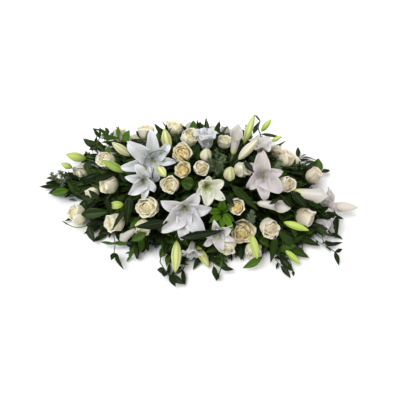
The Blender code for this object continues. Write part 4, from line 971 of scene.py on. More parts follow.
def foam_finish():
    """Wet flower foam: fine open pores, with painted shade in them, and darker damp patches."""
    finish = Finish("wet flower foam", 0.95)
    spot = linked(finish.tree, "ShaderNodeTexCoord", output=3)
    pores = Field(finish.tree, linked(finish.tree, "ShaderNodeTexVoronoi", Vector=spot, Scale=900.0))
    patches, grain = finish.group(MOTTLE, Patches=22.0, Grain=1500.0)
    colour = finish.mix(patches * 1.4 - 0.2, FOAM_WET, FOAM_GREEN)
    # Painted shade: darker colour in the open pores
    finish.colour(finish.mix((0.35 - pores) * 2.0, colour, FOAM_PORE_SHADE))
    finish.roughness(0.85 + grain * 0.15)
    finish.relief(pores, 0.7, 0.5 * MM)
    return finish.material


def tray_finish():
    """Moulded plastic with a fine spark grain and scuffs."""
    finish = Finish("tray plastic", 0.42)
    patches, grain = finish.group(MOTTLE, Patches=18.0, Grain=1100.0)
    finish.colour(finish.mix(patches, TRAY_GREEN, TRAY_LIGHT))
    finish.roughness(0.34 + patches * 0.2)
    finish.relief(grain, 0.25, 0.2 * MM)
    return finish.material


def floor_finish():
    """Matt white paper."""
    finish = Finish("studio floor", 0.9)
    patches, grain = finish.group(MOTTLE, Patches=3.0, Grain=40.0)
    finish.colour(finish.mix(patches * 0.4 + grain * 0.1, FLOOR_PALE, FLOOR_SHADE))
    return finish.material


ROSE = rose_finish()
LILY = lily_finish()
BUD = bud_finish()
CALLA = calla_finish()
POLLEN = pollen_finish()
LEAF = leaf_finish()
STEM = stem_finish()
FERN = fern_finish()

# How each kind of blade is built: the thickness of its wall, its finish, quads across and along it, where
# its tip starts to roll, how deep its middle is creased, and how many waves its edge has
BUILDS = {
    "petal": (0.5 * MM, ROSE, 5, 8, 0.77, 0.0, 1.5),
    "tepal": (0.9 * MM, LILY, 8, 22, 0.72, 0.2, 2.3),
    "sepal": (0.6 * MM, LEAF, 2, 6, 0.7, 0.1, 2.0),
    "leaf": (0.6 * MM, LEAF, 4, 8, 0.7, 0.25, 2.0),
    "filler": (0.5 * MM, LEAF, 2, 5, 0.7, 0.0, 2.0),
    "needle": (0.3 * MM, FERN, 1, 2, 0.7, 0.1, 2.0),
}


# Roses

PETALS = 23
OUTER_PETALS = 5
# The first petal of a rose and the last one: shares of the rose's width, and angles in degrees
PETAL_UP = (0.20, 0.07)
PETAL_OUT = (0.005, 0.04)
PETAL_HALF = (0.13, 0.50)
PETAL_WAVE = (0.02, 0.12)
PETAL_CUP = (2.5, 1.0)
PETAL_LEAN = (8, 84)
PETAL_LENGTH = (0.72, 1.12, 0.88)  # the last one when the rose is shut, and when it is open
PETAL_MIDDLE = (-16, -30, 14)  # the bend at the middle, likewise
PETAL_TIP = (-30, -12, 60)  # the bend at the tip, likewise
PETAL_ROLL = (75, 55)  # how much further an outer petal's tip can roll: shut, and open
PETAL_OUTLINE = (0.60, 2.3, 0.5)
PETAL_FOOT = 0.35
WIDEST_OPEN = 0.7
# Radius and height of each ring of a rose's packed heart, and of its calyx, as shares of its width
ROSE_CORE = ((0.10, 0.10), (0.24, 0.24), (0.29, 0.42), (0.25, 0.60), (0.16, 0.72), (0.05, 0.78))
CORE_SIDES = 20
CORE_FOLDS = (5, 0.05)  # how many, and how deep
CORE_LAYER = 0.25
CALYX = ((0.035, -0.05), (0.060, -0.01), (0.110, 0.03), (0.130, 0.08), (0.080, 0.13))
CALYX_SIDES = 10
SEPALS = 5
SEPAL_SIZE = (0.42, 0.07)  # length and half width
SEPAL_OUT = 0.05
# How yellow the photograph shows some roses, and the pixels across which painted pinkish shade grows on the
# roses towards the right end of the spray, and how deep it gets at most
WARM_ROSES = {
    "rose_12": 0.45, "rose_13": 0.68, "rose_14": 0.95, "rose_16": 0.55, "rose_23": 0.85, "rose_24": 0.7,
}
PAINTED_SHADE_FROM = (235, 325)
DEEPEST_PAINTED_SHADE = 0.75


def painted_shade_of(head):
    """How much pinkish shade is painted on a rose: more on those at the right end of the spray."""
    low, high = PAINTED_SHADE_FROM
    return min(max((pixel_of(head["foot"])[0] - low) / (high - low), 0.0), 1.0) * DEEPEST_PAINTED_SHADE


def rose_petals(head, rng, warm):
    """Petals from the rolled heart out to the wide ones, which lie where the solid has its lobes."""
    size, axes = head["across"], head["axes"]
    painted_shade = painted_shade_of(head)
    axis = axes.col[2]
    opened = min(head["open"], WIDEST_OPEN)
    last_length, last_middle, last_tip = (
        between(shut, wide, opened) for _, shut, wide in (PETAL_LENGTH, PETAL_MIDDLE, PETAL_TIP)
    )
    petals = []
    for k in range(PETALS):
        share = k / (PETALS - 1)
        angle = head["lobe"] + k * GOLDEN_TURN + rng.uniform(-0.1, 0.1)
        if k >= PETALS - OUTER_PETALS:
            angle = head["lobe"] + k * FULL_TURN / OUTER_PETALS + rng.uniform(-0.3, 0.3)
        out = round_about(axes, angle)
        start = head["foot"] + axis * size * between(*PETAL_UP, share)
        start = start + out * size * between(*PETAL_OUT, share)
        rolled = rng.uniform(0.3, 1.0) * share ** 2
        bend = (
            between(*PETAL_LEAN, share ** 0.72),
            between(PETAL_MIDDLE[0], last_middle, share) + rng.uniform(-3, 3),
            between(PETAL_TIP[0], last_tip, share) + between(*PETAL_ROLL, opened) * rolled,
        )
        length = size * between(PETAL_LENGTH[0], last_length, share ** 1.5) * rng.uniform(0.97, 1.03)
        half_width = size * between(*PETAL_HALF, share ** 0.8)
        form = (between(*PETAL_CUP, share ** 0.4), between(*PETAL_WAVE, share), any_angle(rng))
        petals.append(blade(
            start, axes_from(axis, out), length, half_width, bend, PETAL_OUTLINE, form, PETAL_FOOT,
            (share, painted_shade, warm),
        ))
    return petals


def add_rose_core(piece, head, slot, warm):
    """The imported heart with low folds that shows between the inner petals."""
    size = head["across"]
    folds, depth = CORE_FOLDS
    points, faces = lathe(
        head["foot"], head["axes"], [(size * r, size * h) for r, h in ROSE_CORE], CORE_SIDES,
        lambda angle: 1.0 + depth * math.cos(folds * angle),
    )
    place = [(0.0, 0.3 + 0.5 * h, 0.0) for _, h in ROSE_CORE for _ in range(CORE_SIDES)]
    piece.add(points, faces, slot, place, [(CORE_LAYER, painted_shade_of(head), warm)] * len(points))


def add_calyx(piece, head, slot, rng):
    """The green cup under a rose and its sepals."""
    size, axes = head["across"], head["axes"]
    points, faces = lathe(head["foot"], axes, [(size * r, size * h) for r, h in CALYX], CALYX_SIDES)
    piece.add(points, faces, slot)
    sepals = []
    for k in range(SEPALS):
        out = round_about(axes, head["lobe"] + (k + 0.5) * FULL_TURN / SEPALS)
        bend = (62, 40 + rng.uniform(-8, 8), 120 + rng.uniform(-20, 20))
        sepals.append(blade(
            head["foot"] + out * size * SEPAL_OUT, axes_from(axes.col[2], out), size * SEPAL_SIZE[0],
            size * SEPAL_SIZE[1], bend, (0.3, 1.4, 1.0), (0.6, 0.05, 0.0), 0.6, (0.25, rng.random(), 0.0),
        ))
    piece.add_mesh(blade_mesh(sepals, *BUILDS["sepal"]), slot)


# Lilies and their buds

TEPAL_STEPS = 20
HALVINGS = 30
WIDEST_SPREAD = math.radians(170)
# How much a lily blushes, and how cream it is with a deep green throat
LILY_TONES = {
    "lily_01": (0.0, -0.4), "lily_02": (0.1, 0.1), "lily_03": (0.45, -0.1), "lily_04": (0.3, 0.8),
    "lily_05": (0.75, -0.2), "lily_06": (0.1, 0.1), "lily_07": (0.5, 0.1), "lily_08": (0.7, 0.0),
    "lily_09": (0.4, 0.2), "lily_10": (0.6, 0.0), "lily_11": (0.6, 0.2),
}
PLAIN_TONE = (0.1, 0.1)
HALF_OPEN = math.radians(85)  # a lily that opens less than this is a cup of wide, lapping tepals
# How much wider its tepals are than the solid's, how much shorter they are drawn, the degrees by which they
# lean out where they start, and how much longer they are that the photograph shows to the right, and up
LILY_WIDE = {"lily_01": 1.22, "lily_03": 1.5, "lily_05": 1.65, "lily_06": 2.1, "lily_09": 1.0}
LILY_SHORT = {"lily_01": 0.96, "lily_09": 0.8}
LILY_THROAT = {"lily_01": 32}
LILY_LEAN = {"lily_04": (0.26, -0.22)}
CUP_WIDE = 1.7
STAR_WIDE = 1.36
CUP_OUTLINE = (0.50, 2.5, 0.68)
STAR_OUTLINE = (0.45, 2.0, 0.82)
CUP_RECURVE = (30, 60)  # degrees
STAR_RECURVE = (12, 46)
INNER_WIDTH = 0.16  # half widths over this share of the length are those of the three inner tepals
INNER_START = 0.012
INNER_FORM = (0.95, 0.20)  # how cupped, and how wavy
OUTER_FORM = (0.7, 0.11)
TEPAL_MIDDLE = 0.56  # share of its whole bend that a tepal has at the middle
TEPAL_FOOT = 0.34
STALK_SIDES = 6
# The heart of a lily, as shares of its length
PISTIL_STEPS = (0, 0.25, 0.5, 0.75, 1.0)
PISTIL_THICK = (0.016, 0.014, 0.012, 0.012, 0.014)
PISTIL_UP = (0.08, 0.56)
PISTIL_LEAN = 0.03
FILAMENTS = 6
FILAMENT_STEPS = (0, 0.33, 0.66, 1.0)
FILAMENT_THICK = (0.008, 0.007, 0.006, 0.004)
FILAMENT_OUT = 0.012
FILAMENT_UP = 0.10
STIGMA = ((0.010, 0.0), (0.024, 0.012), (0.026, 0.026), (0.012, 0.036))
STIGMA_SIDES = 18
STIGMA_LOBES = (3, 0.22)  # how many, and how deep
SPECKED_LILY = "lily_03"  # the one where the photograph shows a brown speck: an anther that was left on
ANTHER = ((0.4, -3), (1.6, -1), (1.5, 2), (0.3, 4))  # radius and height of its rings, in mm
ANTHER_SIDES = 8


def tepal_end(spread):
    """Reach and height of the tip of a tepal of unit length that bends out to this angle."""
    reach = height = 0.0
    for k in range(TEPAL_STEPS):
        angle = THROAT_ANGLE + (spread - THROAT_ANGLE) * ((k + 0.5) / TEPAL_STEPS) ** TEPAL_BEND
        reach += math.sin(angle) / TEPAL_STEPS
        height += math.cos(angle) / TEPAL_STEPS
    return reach, height


def spread_of(reach, height):
    """How far a tepal bends out, from where its tip is."""
    low, high = THROAT_ANGLE, WIDEST_SPREAD
    for _ in range(HALVINGS):
        spread = (low + high) / 2
        far, up = tepal_end(spread)
        if math.atan2(far, up) < math.atan2(reach, height):
            low = spread
        else:
            high = spread
    return spread


def lily_tepals(head, rng):
    """Six tepals whose tips lie where the solid has them."""
    axes, axis = head["axes"], head["axes"].col[2]
    tepals = []
    for found in head["tepals"]:
        local = axes.transposed() @ (found["tip"] - head["foot"])
        reach = local.to_2d().length
        spread = spread_of(reach, local.z)
        length = reach / tepal_end(spread)[0]
        wide = found["half_width"] / length / TEPAL_LAST[1]
        half_width = min(TEPAL_WIDTHS, key=lambda width: abs(width - wide)) * length
        out = axes @ Vector((local.x, local.y, 0)).normalized()
        first = LILY_THROAT.get(head["node"], math.degrees(THROAT_ANGLE))
        last = math.degrees(spread)
        inner = half_width > INNER_WIDTH * length
        start = head["foot"] + axis * head["length"] * (INNER_START if inner else 0.0)
        cupped = spread < HALF_OPEN
        wide = LILY_WIDE.get(head["node"], CUP_WIDE if cupped else STAR_WIDE)
        recurve = rng.uniform(*(CUP_RECURVE if cupped else STAR_RECURVE))
        right, up = LILY_LEAN.get(head["node"], (0.0, 0.0))
        length *= LILY_SHORT.get(head["node"], 1.0) * (1.0 + right * out.dot(RIGHT) + up * out.dot(UP))
        blush, cream = LILY_TONES.get(head["node"], PLAIN_TONE)
        form = (*(INNER_FORM if inner else OUTER_FORM), any_angle(rng))
        tepals.append(blade(
            start, axes_from(axis, out), length, half_width * wide,
            (first, between(first, last, TEPAL_MIDDLE), last + recurve),
            CUP_OUTLINE if cupped else STAR_OUTLINE, form, TEPAL_FOOT, (blush, rng.random(), cream),
        ))
    return tepals


def add_lily_heart(piece, head, slot, rng):
    """Pistil with its three-lobed stigma, and six filaments; their anthers were taken off."""
    foot, axes, length = head["foot"], head["axes"], head["length"]
    lean = any_angle(rng)
    low, tall = PISTIL_UP
    out, axis = round_about(axes, lean), axes.col[2]
    rows = [
        foot + out * PISTIL_LEAN * length * t * t + axis * length * (low + tall * t) for t in PISTIL_STEPS
    ]
    lines = [(rows, [thick * length for thick in PISTIL_THICK])]
    for k in range(FILAMENTS):
        out = round_about(axes, lean + k * FULL_TURN / FILAMENTS + 0.3)
        reach = rng.uniform(0.10, 0.17) * length
        rows = [
            foot + out * (FILAMENT_OUT * length + reach * t * t)
            + axis * length * (FILAMENT_UP + rng.uniform(0.36, 0.42) * t)
            for t in FILAMENT_STEPS
        ]
        lines.append((rows, [thick * length for thick in FILAMENT_THICK]))
    piece.add_mesh(tube_mesh(lines, POLLEN, STALK_SIDES), slot)
    lobes, depth = STIGMA_LOBES
    points, faces = lathe(
        lines[0][0][-1], axes, [(r * length, h * length) for r, h in STIGMA], STIGMA_SIDES,
        lambda angle: 1.0 - depth + depth * math.cos(lobes * angle),
    )
    piece.add(points, faces, slot, tone=[(0.0, 0.0, 0.3)] * len(points))
    if head["node"] == SPECKED_LILY:
        points, faces = lathe(lines[2][0][-1], axes, [(r * MM, h * MM) for r, h in ANTHER], ANTHER_SIDES)
        piece.add(points, faces, slot, tone=[(0.0, 0.0, 1.0)] * len(points))


BUD_SIDES = 24
BUD_ROWS = 16
BUD_RIDGES = 3
BUD_RIPE = (28 * MM, 40 * MM)  # widths at which a bud is still lime, and quite cream
BUD_NEAR = 12  # pixels from a named tip
BUD_TURN = math.radians(25)  # how far one of the three ridges lies from the viewer's side
BUD_FROM = 0.004  # how much of the length is left off at the foot and at the tip
BUD_GROOVE = 0.15  # depth of the furrows between the ridges
# Tips of buds in the photograph (pixels), and how ripe each is: -1 dark green, 0 lime, 0.9 cream, more white
BUD_TONES = (
    ((112, 143), 1.0), ((165, 130), 0.9), ((68, 155), 0.25), ((105, 161), -1.0), ((64, 166), 0.2),
    ((254, 115), 0.55), ((271, 119), 0.0), ((280, 138), 0.3), ((257, 141), 1.1), ((229, 170), 1.0),
    ((161, 171), 0.9), ((115, 205), 0.2), ((308, 230), 0.0), ((299, 266), 0.0), ((256, 258), 0.2),
    ((208, 269), 0.75), ((177, 272), 0.8), ((357, 209), 1.3), ((205, 155), 1.1),
)


def ripeness(head):
    """How ripe a bud is: from a named tip close by, or from how thick it is."""
    x, y = pixel_of(head["foot"] + head["axes"].col[2] * head["length"])
    gaps = [(math.hypot(px[0] - x, px[1] - y), ripe) for px, ripe in BUD_TONES]
    if "back" not in head["node"] and min(gaps)[0] < BUD_NEAR:
        return min(gaps)[1]
    return (head["across"] - BUD_RIPE[0]) / (BUD_RIPE[1] - BUD_RIPE[0])


def add_bud(piece, head, slot, rng):
    """A closed bud: three broad ridges that end in one blunt tip, one of them near the viewer's side."""
    size = head["across"] / 2
    axes = axes_from(head["axes"].col[2], TOWARD) @ Matrix.Rotation(BUD_TURN, 3, "Z")
    tone = (ripeness(head), rng.random(), 0.0)
    rings, place = [], []
    for row in range(BUD_ROWS + 1):
        share = BUD_FROM + (1.0 - 2 * BUD_FROM) * row / BUD_ROWS
        radius = size * math.sin(math.pi * share ** 0.88) ** 0.78
        ring = []
        for k in range(BUD_SIDES):
            angle = FULL_TURN * k / BUD_SIDES
            ridge = math.cos(BUD_RIDGES * angle)
            furrow = (0.5 - 0.5 * ridge) ** 1.6
            reach = radius * (1.0 - BUD_GROOVE * furrow)
            ring.append(head["foot"] + axes @ Vector((
                math.cos(angle) * reach, math.sin(angle) * reach, share * head["length"],
            )))
            place.append((ridge, share, abs(1 - 2 * k / BUD_SIDES)))
        rings.append(ring)
    points, faces = wrapped_rings(rings)
    piece.add(points, faces, slot, place, [tone] * len(points))


# Callas

CALLA_ROWS = 18
CALLA_SIDES = 40
CALLA_THICK = 1.0 * MM
CALLA_LAP = 0.45  # radians by which the spathe's edges lap at the back
# Heights and radii of a spathe, as shares of its length
CALLA_FROM = 0.01
RIM_HEIGHT = 0.54
LIP_HEIGHT = 0.35  # how much higher the rim is on the long side
TIP_HEIGHT = 0.08
TIP_TURN = 0.36  # radians from its middle over which the tip falls away
NECK_RADIUS = 0.020
NECK_GROWTH = (0.035, 0.10)  # how much wider the neck gets, and by what height
TUBE_GROWTH = 0.085
ROLL_FROM = 0.8  # where the rim starts to roll outwards
ROLL_OUT = (0.035, 0.02)  # how far, and how much less at the tip
ROLL_DOWN = 0.03
LAP_DOWN = 0.07
LAP_LIFT = 0.05  # how much further out one edge lies than the other
SPADIX = ((0.012, 0.08), (0.028, 0.18), (0.030, 0.26), (0.028, 0.35), (0.020, 0.40), (0.008, 0.43))
SPADIX_SIDES = 14
# How much wider than plain each spathe is, and whether its long lip is on the viewer's side (1) or not (-1)
CALLA_WIDE = {"calla_01": 1.35, "calla_02": 1.35, "calla_03": 1.2, "calla_04": 1.55, "calla_back": 1.5}
CALLA_LIP = {"calla_01": -1, "calla_02": 1, "calla_03": -1, "calla_04": 1}
# How far up the green of the foot reaches: 0 to 1 on most, and less on two, which the photograph shows white
CALLA_FOOT = {"calla_03": -0.9, "calla_04": -1.6}


def spathe_spot(share, angle):
    """Radius and height on a spathe, at a share of the way up and an angle from its long lip."""
    long_side = (0.5 + 0.5 * math.cos(angle)) ** 1.3
    tip = math.exp(-(angle / TIP_TURN) ** 2)
    height = CALLA_FROM + share * (RIM_HEIGHT + LIP_HEIGHT * long_side) + TIP_HEIGHT * tip * share ** 4
    growth, grown_at = NECK_GROWTH
    radius = NECK_RADIUS + growth * min(height / grown_at, 1.0) + TUBE_GROWTH * height ** 0.8
    rolled = max((share - ROLL_FROM) / (1.0 - ROLL_FROM), 0.0) ** 2
    radius += (ROLL_OUT[0] - ROLL_OUT[1] * tip) * rolled * (0.5 + 0.5 * long_side)
    lapped = max(abs(angle) - math.pi, 0.0) / CALLA_LAP
    height -= ROLL_DOWN * rolled + LAP_DOWN * lapped * share ** 2
    return radius * (1.0 + LAP_LIFT * angle / math.pi * (0.3 + share)), height


def add_calla(piece, head, slots, rng):
    """A rolled spathe with one long lip, and the spadix inside it."""
    length, axes, foot = head["length"], head["axes"], head["foot"]
    if head["node"] in CALLA_LIP:
        axes = axes_from(axes.col[2], TOWARD * CALLA_LIP[head["node"]])
    wide = CALLA_WIDE.get(head["node"], 1.0) * length
    points, place, tone = [], [], []
    green = CALLA_FOOT.get(head["node"], rng.random())
    for row in range(CALLA_ROWS + 1):
        share = row / CALLA_ROWS
        for k in range(CALLA_SIDES + 1):
            angle = between(-math.pi - CALLA_LAP, math.pi + CALLA_LAP, k / CALLA_SIDES)
            radius, height = spathe_spot(share, angle)
            points.append(foot + round_about(axes, angle) * radius * wide + axes.col[2] * height * length)
            place.append((0.0, share, 0.0))
            tone.append((angle / math.pi, green, 0.0))
    across = CALLA_SIDES + 1
    faces = []
    for row in range(CALLA_ROWS):
        for k in range(CALLA_SIDES):
            corner = row * across + k
            faces.append((corner, corner + 1, corner + across + 1, corner + across))
    mesh = bpy.data.meshes.new("spathe")
    mesh.from_pydata([p[:] for p in points], [], faces)
    for name, values in (("place", place), ("tone", tone)):
        layer = mesh.attributes.new(name, "FLOAT_VECTOR", "POINT")
        layer.data.foreach_set("vector", np.array(values, np.float32).ravel())
    piece.add_mesh(grown(mesh, None, CALLA_THICK), slots[0])
    points, faces = lathe(foot, axes, [(r * length, h * length) for r, h in SPADIX], SPADIX_SIDES)
    piece.add(points, faces, slots[1], tone=[(0.0, 0.0, 1.0)] * len(points))


# Stems as the solids have them, rounded

def add_stems(piece, mesh, slot):
    """What the solid has left without its heads and leaves, rounded once; its mesh is used up."""
    plain = bpy.data.meshes.new("stems")
    mesh.to_mesh(plain)
    mesh.free()
    holder = bpy.data.objects.new("stems", plain)
    bpy.context.scene.collection.objects.link(holder)
    round_off = holder.modifiers.new("round", "SUBSURF")
    round_off.levels = 1
    round_off.render_levels = 1
    piece.add_mesh(settled(holder), slot)


# Greenery

DOME_SPRIGS = 230
DOME_SHARES = (0.62, 0.93)
RIM_SPRIGS = 64
RIM_TURNS = (math.radians(-20), math.radians(200))
RIM_SHARES = (0.72, 1.0)
RIM_HEIGHTS = (18 * MM, 55 * MM)
SKIRT_SPRIGS = 3  # beside each sprig of the solids, to fill the edge of the spray
SKIRT_PULL = (0.03, 0.30)  # how far they end short of it
SKIRT_LOOSE = 26 * MM
# Share of a sprig that bears leaves
DOME_LEAFY = 0.72
RIM_LEAFY = 0.4
SKIRT_LEAFY = 0.45
SKIRT_SCALE = 0.95
SPRIG_THICK = (1.7, 0.9)  # radius in mm, at the root and at the end
SPRIG_STEPS = 10
SPRIG_SIDES = 4
FILLER_PITCH = 19 * MM
FILLER_LEAF = (66 * MM, 13.5 * MM)  # length and half width
FILLER_SPREAD = (30, 62)  # degrees between a leaf and its stem
CLEAR_OF_BLOOM = 4 * MM
LEAST_HEIGHT = 12 * MM
YOUNG_LEAF = 0.5
IN_FRONT = 5 * MM  # how far a leaf that lies over a bloom stays in front of it
BLOOM_BEHIND = 40 * MM  # how far behind the dome a bloom may lie and still count
LEAF_SINK = 12 * MM  # how far behind the dome a single leaf may lie over a bloom
LEAF_OUTLINES = {"salal": (0.36, 1.9, 0.8), "lily_leaf": (0.34, 1.6, 1.0), "ruscus": (0.42, 1.6, 0.92)}
LEAF_FORM = (0.5, 0.06)  # how cupped, and how wavy
LEAF_FOOT = 0.14
BRIGHT_LEAVES = (0.12, 0.30, 0.06)  # share of bright leaves, how bright they are, and the rest at most
FILLER_BRIGHT = 0.3
# Where the photograph shows the floor between sprigs: places in pixels, and how far they reach
NOTCHES = (
    ((56, 206), 9), ((64, 202), 9), ((73, 201), 6), ((154, 255), 6), ((152, 266), 10), ((142, 266), 9),
    ((118, 258), 10), ((104, 262), 16), ((126, 268), 12), ((138, 274), 12), ((196, 278), 8), ((206, 280), 8),
    ((226, 278), 9), ((236, 264), 6), ((247, 276), 10), ((266, 274), 9), ((312, 250), 9), ((322, 244), 7),
    ((305, 268), 10),
    ((330, 256), 9), ((342, 256), 9), ((331, 182), 9), ((330, 165), 12), ((345, 184), 11), ((268, 254), 5),
    ((281, 271), 5), ((155, 249), 5), ((128, 262), 9), ((350, 230), 9), ((70, 200), 8), ((79, 199), 6),
    ((107, 241), 6), ((121, 248), 6), ((120, 262), 8), ((315, 246), 7), ((328, 241), 5), ((66, 234), 9),
    ((86, 249), 10), ((98, 244), 6), ((304, 152), 8), ((54, 164), 8), ((76, 144), 9), ((110, 122), 6),
    ((290, 146), 6),
)


def leaf_blade(leaf, rng, bright=0.0):
    """One leaf, with a brightness of its own or this one."""
    outline = LEAF_OUTLINES.get(leaf["kind"], LEAF_OUTLINES["ruscus"])
    broad = 1.0 if leaf["kind"] == "salal" else 0.0
    side_tilt = Matrix.Rotation(rng.uniform(-0.12, 0.12), 3, leaf["along"])
    axes = axes_from(side_tilt @ leaf["up"], leaf["along"])
    bend = (90 - rng.uniform(0, 5), 97 + rng.uniform(-3, 5), 103 + rng.uniform(-6, 14))
    return blade(
        leaf["base"], axes, leaf["length"], leaf["half_width"], bend, outline,
        (*LEAF_FORM, any_angle(rng)), LEAF_FOOT, (leaf.get("bright", bright), rng.random(), broad),
    )


def dome_outward(point):
    """The direction that faces straight out of the dome at a point."""
    return Vector([
        point.x / DOME.x ** 2, point.y / DOME.y ** 2, max(point.z - DOME_FOOT, 0.0) / DOME.z ** 2,
    ]).normalized()


def root_of(solid):
    """Where a bunch comes out of the foam: the point inside it that lies nearest to its surface."""
    inside = [p for p in solid.points if all(abs(p[i]) < FOAM_HALF[i] + 3 * MM for i in range(3))]
    return max(inside, key=lambda p: max(abs(p.y) / FOAM_HALF.y, p.z / FOAM_HALF.z))


def bloom_tree(pieces):
    """Everything that a leaf keeps clear of: the finished blooms with their buds and stems."""
    points, faces = [], []
    for piece in pieces:
        faces += [tuple(len(points) + i for i in face) for face in piece.faces]
        points += piece.points
    return BVHTree.FromPolygons(points, faces)


def crosses(tree, start, end):
    """Whether a straight line runs through a bloom."""
    way = end - start
    return tree.ray_cast(start, way.normalized(), way.length)[0] is not None


def in_notch(point):
    """Whether a point would cover bare floor that the photograph shows."""
    x, y = pixel_of(point)
    return any(math.hypot(px[0] - x, px[1] - y) < radius for px, radius in NOTCHES)


def has_room(tree, base, tip, side):
    """Whether a leaf lies clear of the blooms and the floor, and out of the open notches."""
    middle = base.lerp(tip, 0.4)
    if tip.z < LEAST_HEIGHT or crosses(tree, base, tip) or crosses(tree, middle - side, middle + side):
        return False
    if in_notch(tip) or in_notch(base.lerp(tip, 0.6)):
        return False
    return tree.find_nearest(tip, CLEAR_OF_BLOOM)[0] is None


def leaves_along(line, leafy, tree, rng, scale=1.0):
    """Leaves on alternate sides of a sprig's outer share, and one at its tip, where they have room."""
    leaves = []
    lengths = [0.0]
    for a, b in zip(line, line[1:]):
        lengths.append(lengths[-1] + (b - a).length)
    distance, hand = lengths[-1], rng.choice((-1, 1))
    while distance > (1 - leafy) * lengths[-1]:
        i = max(j for j in range(len(line) - 1) if lengths[j] <= distance)
        step = (distance - lengths[i]) / max(lengths[i + 1] - lengths[i], 1e-6)
        base = line[i].lerp(line[i + 1], step)
        along = (line[i + 1] - line[i]).normalized()
        up = squared(dome_outward(base) + Vector((0, 0, 0.45)) + stray(rng, 0.35), along)
        side = along.cross(up) * hand
        spread = math.radians(rng.uniform(*FILLER_SPREAD))
        way = along * math.cos(spread) + side * math.sin(spread) + up * rng.uniform(-0.15, 0.3)
        way.normalize()
        if distance == lengths[-1]:
            way = along
        size = rng.uniform(0.75, 1.15) * scale
        long = FILLER_LEAF[0] * size
        up = squared(up, way)
        wide = FILLER_LEAF[1] * size * rng.uniform(0.8, 1.15)
        if has_room(tree, base + way * 3 * MM, base + way * long, way.cross(up) * wide):
            leaves.append({
                "kind": "ruscus", "base": base, "along": way, "up": up, "length": long, "half_width": wide,
            })
        hand = -hand
        distance -= FILLER_PITCH * rng.uniform(0.6, 1.1)
    return leaves


def filler_line(root, end, way):
    """A sprig's stem from its bunch's root to its end, where it runs this way."""
    reach = (end - root).length
    leave = root.lerp(end, 0.35) + Vector((0, 0, min(30 * MM, 0.2 * reach)))
    return bezier(root, leave, end - way * 0.35 * reach, end, SPRIG_STEPS)


def nearest_root(roots, place):
    """The bunch whose root lies nearest to a place."""
    return min(roots, key=lambda name: (roots[name] - place).length)


def add_sprig(bunch, line, leaves):
    """A stem that gets thinner towards its end, with its leaves."""
    last = len(line) - 1
    bunch["lines"].append((line, [between(*SPRIG_THICK, i / last) * MM for i in range(last + 1)]))
    bunch["leaves"] += leaves


def dome_sprigs(found, roots, tree, rng):
    """Sprigs that fill the dome between the blooms, laid over it rather than out of it."""
    for k in range(DOME_SPRIGS):
        level = (k + 0.5) / DOME_SPRIGS
        turn = k * GOLDEN_TURN
        flat = math.sqrt(1 - level * level)
        direction = Vector((math.cos(turn) * flat, math.sin(turn) * flat, level))
        share = rng.uniform(*DOME_SHARES)
        end = Vector([direction[i] * DOME[i] * share for i in range(3)]) + Vector((0, 0, DOME_FOOT))
        node = nearest_root(roots, end)
        out = dome_outward(end)
        way = (out * 0.5 + Vector((direction.x, direction.y, 0)) * 0.6 + stray(rng) * 0.8).normalized()
        line = filler_line(roots[node], end, way)
        add_sprig(found[node], line, leaves_along(line, DOME_LEAFY, tree, rng))


def rim_sprigs(found, roots, tree, rng):
    """Low sprigs round the ends and the back, where the photograph doesn't show the edge of the spray."""
    for k in range(RIM_SPRIGS):
        turn = between(*RIM_TURNS, (k + 0.5) / RIM_SPRIGS)
        share = rng.uniform(*RIM_SHARES)
        height = rng.uniform(*RIM_HEIGHTS)
        end = Vector((math.cos(turn) * DOME.x * share, math.sin(turn) * DOME.y * share, height))
        node = nearest_root(roots, end)
        way = (Vector((math.cos(turn), math.sin(turn), 0.1)) + stray(rng) * 0.5).normalized()
        line = filler_line(roots[node], end, way)
        add_sprig(found[node], line, leaves_along(line, RIM_LEAFY, tree, rng))


def skirt_sprigs(found, roots, results, tree, rng):
    """Sprigs beside those of the solids, a little shorter, so that the edge of the spray is full."""
    for node, root in roots.items():
        for leaf in results[node]["leaves"]:
            for _ in range(SKIRT_SPRIGS):
                end = leaf["base"].lerp(root, rng.uniform(*SKIRT_PULL))
                end += stray(rng, SKIRT_LOOSE)
                end.z = max(end.z, 1.5 * LEAST_HEIGHT)
                way = (leaf["along"] + stray(rng, 0.5)).normalized()
                line = filler_line(root, end, way)
                add_sprig(found[node], line, leaves_along(line, SKIRT_LEAFY, tree, rng, SKIRT_SCALE))


def sight(px):
    """Direction of the line of sight through a pixel."""
    across = RIGHT * (px[0] - PHOTO_SIDE / 2) + UP * (PHOTO_SIDE / 2 - px[1])
    return (across * METRES_PER_PX - TOWARD * SIGHT_DISTANCE).normalized()


def dome_distance(px):
    """How far the dome, or near its edge its foot plane, lies along a line of sight."""
    ray = sight(px)
    start = EYE - Vector((0, 0, DOME_FOOT))
    start = Vector([start[i] / DOME[i] for i in range(3)])
    step = Vector([ray[i] / DOME[i] for i in range(3)])
    middle = -start.dot(step) / step.dot(step)
    spread = middle * middle - (start.dot(start) - 1.0) / step.dot(step)
    distance = middle - math.sqrt(max(spread, 0.0))
    return distance if (EYE + ray * distance).z > DOME_FOOT else (DOME_FOOT - EYE.z) / ray.z


def depth_at(px, tree, sink=0.0):
    """How far away a leaf at a pixel lies: on the dome, or just in front of a bloom there."""
    distance = dome_distance(px)
    bloom = tree.ray_cast(EYE, sight(px))[3]
    if bloom is not None and bloom < distance + BLOOM_BEHIND:
        distance = min(distance + sink, bloom - IN_FRONT)
    return distance


def in_view(px, tree, lift):
    """The place that the photograph shows at a pixel, this much nearer to the viewer."""
    return EYE + sight(px) * (depth_at(px, tree) - lift)


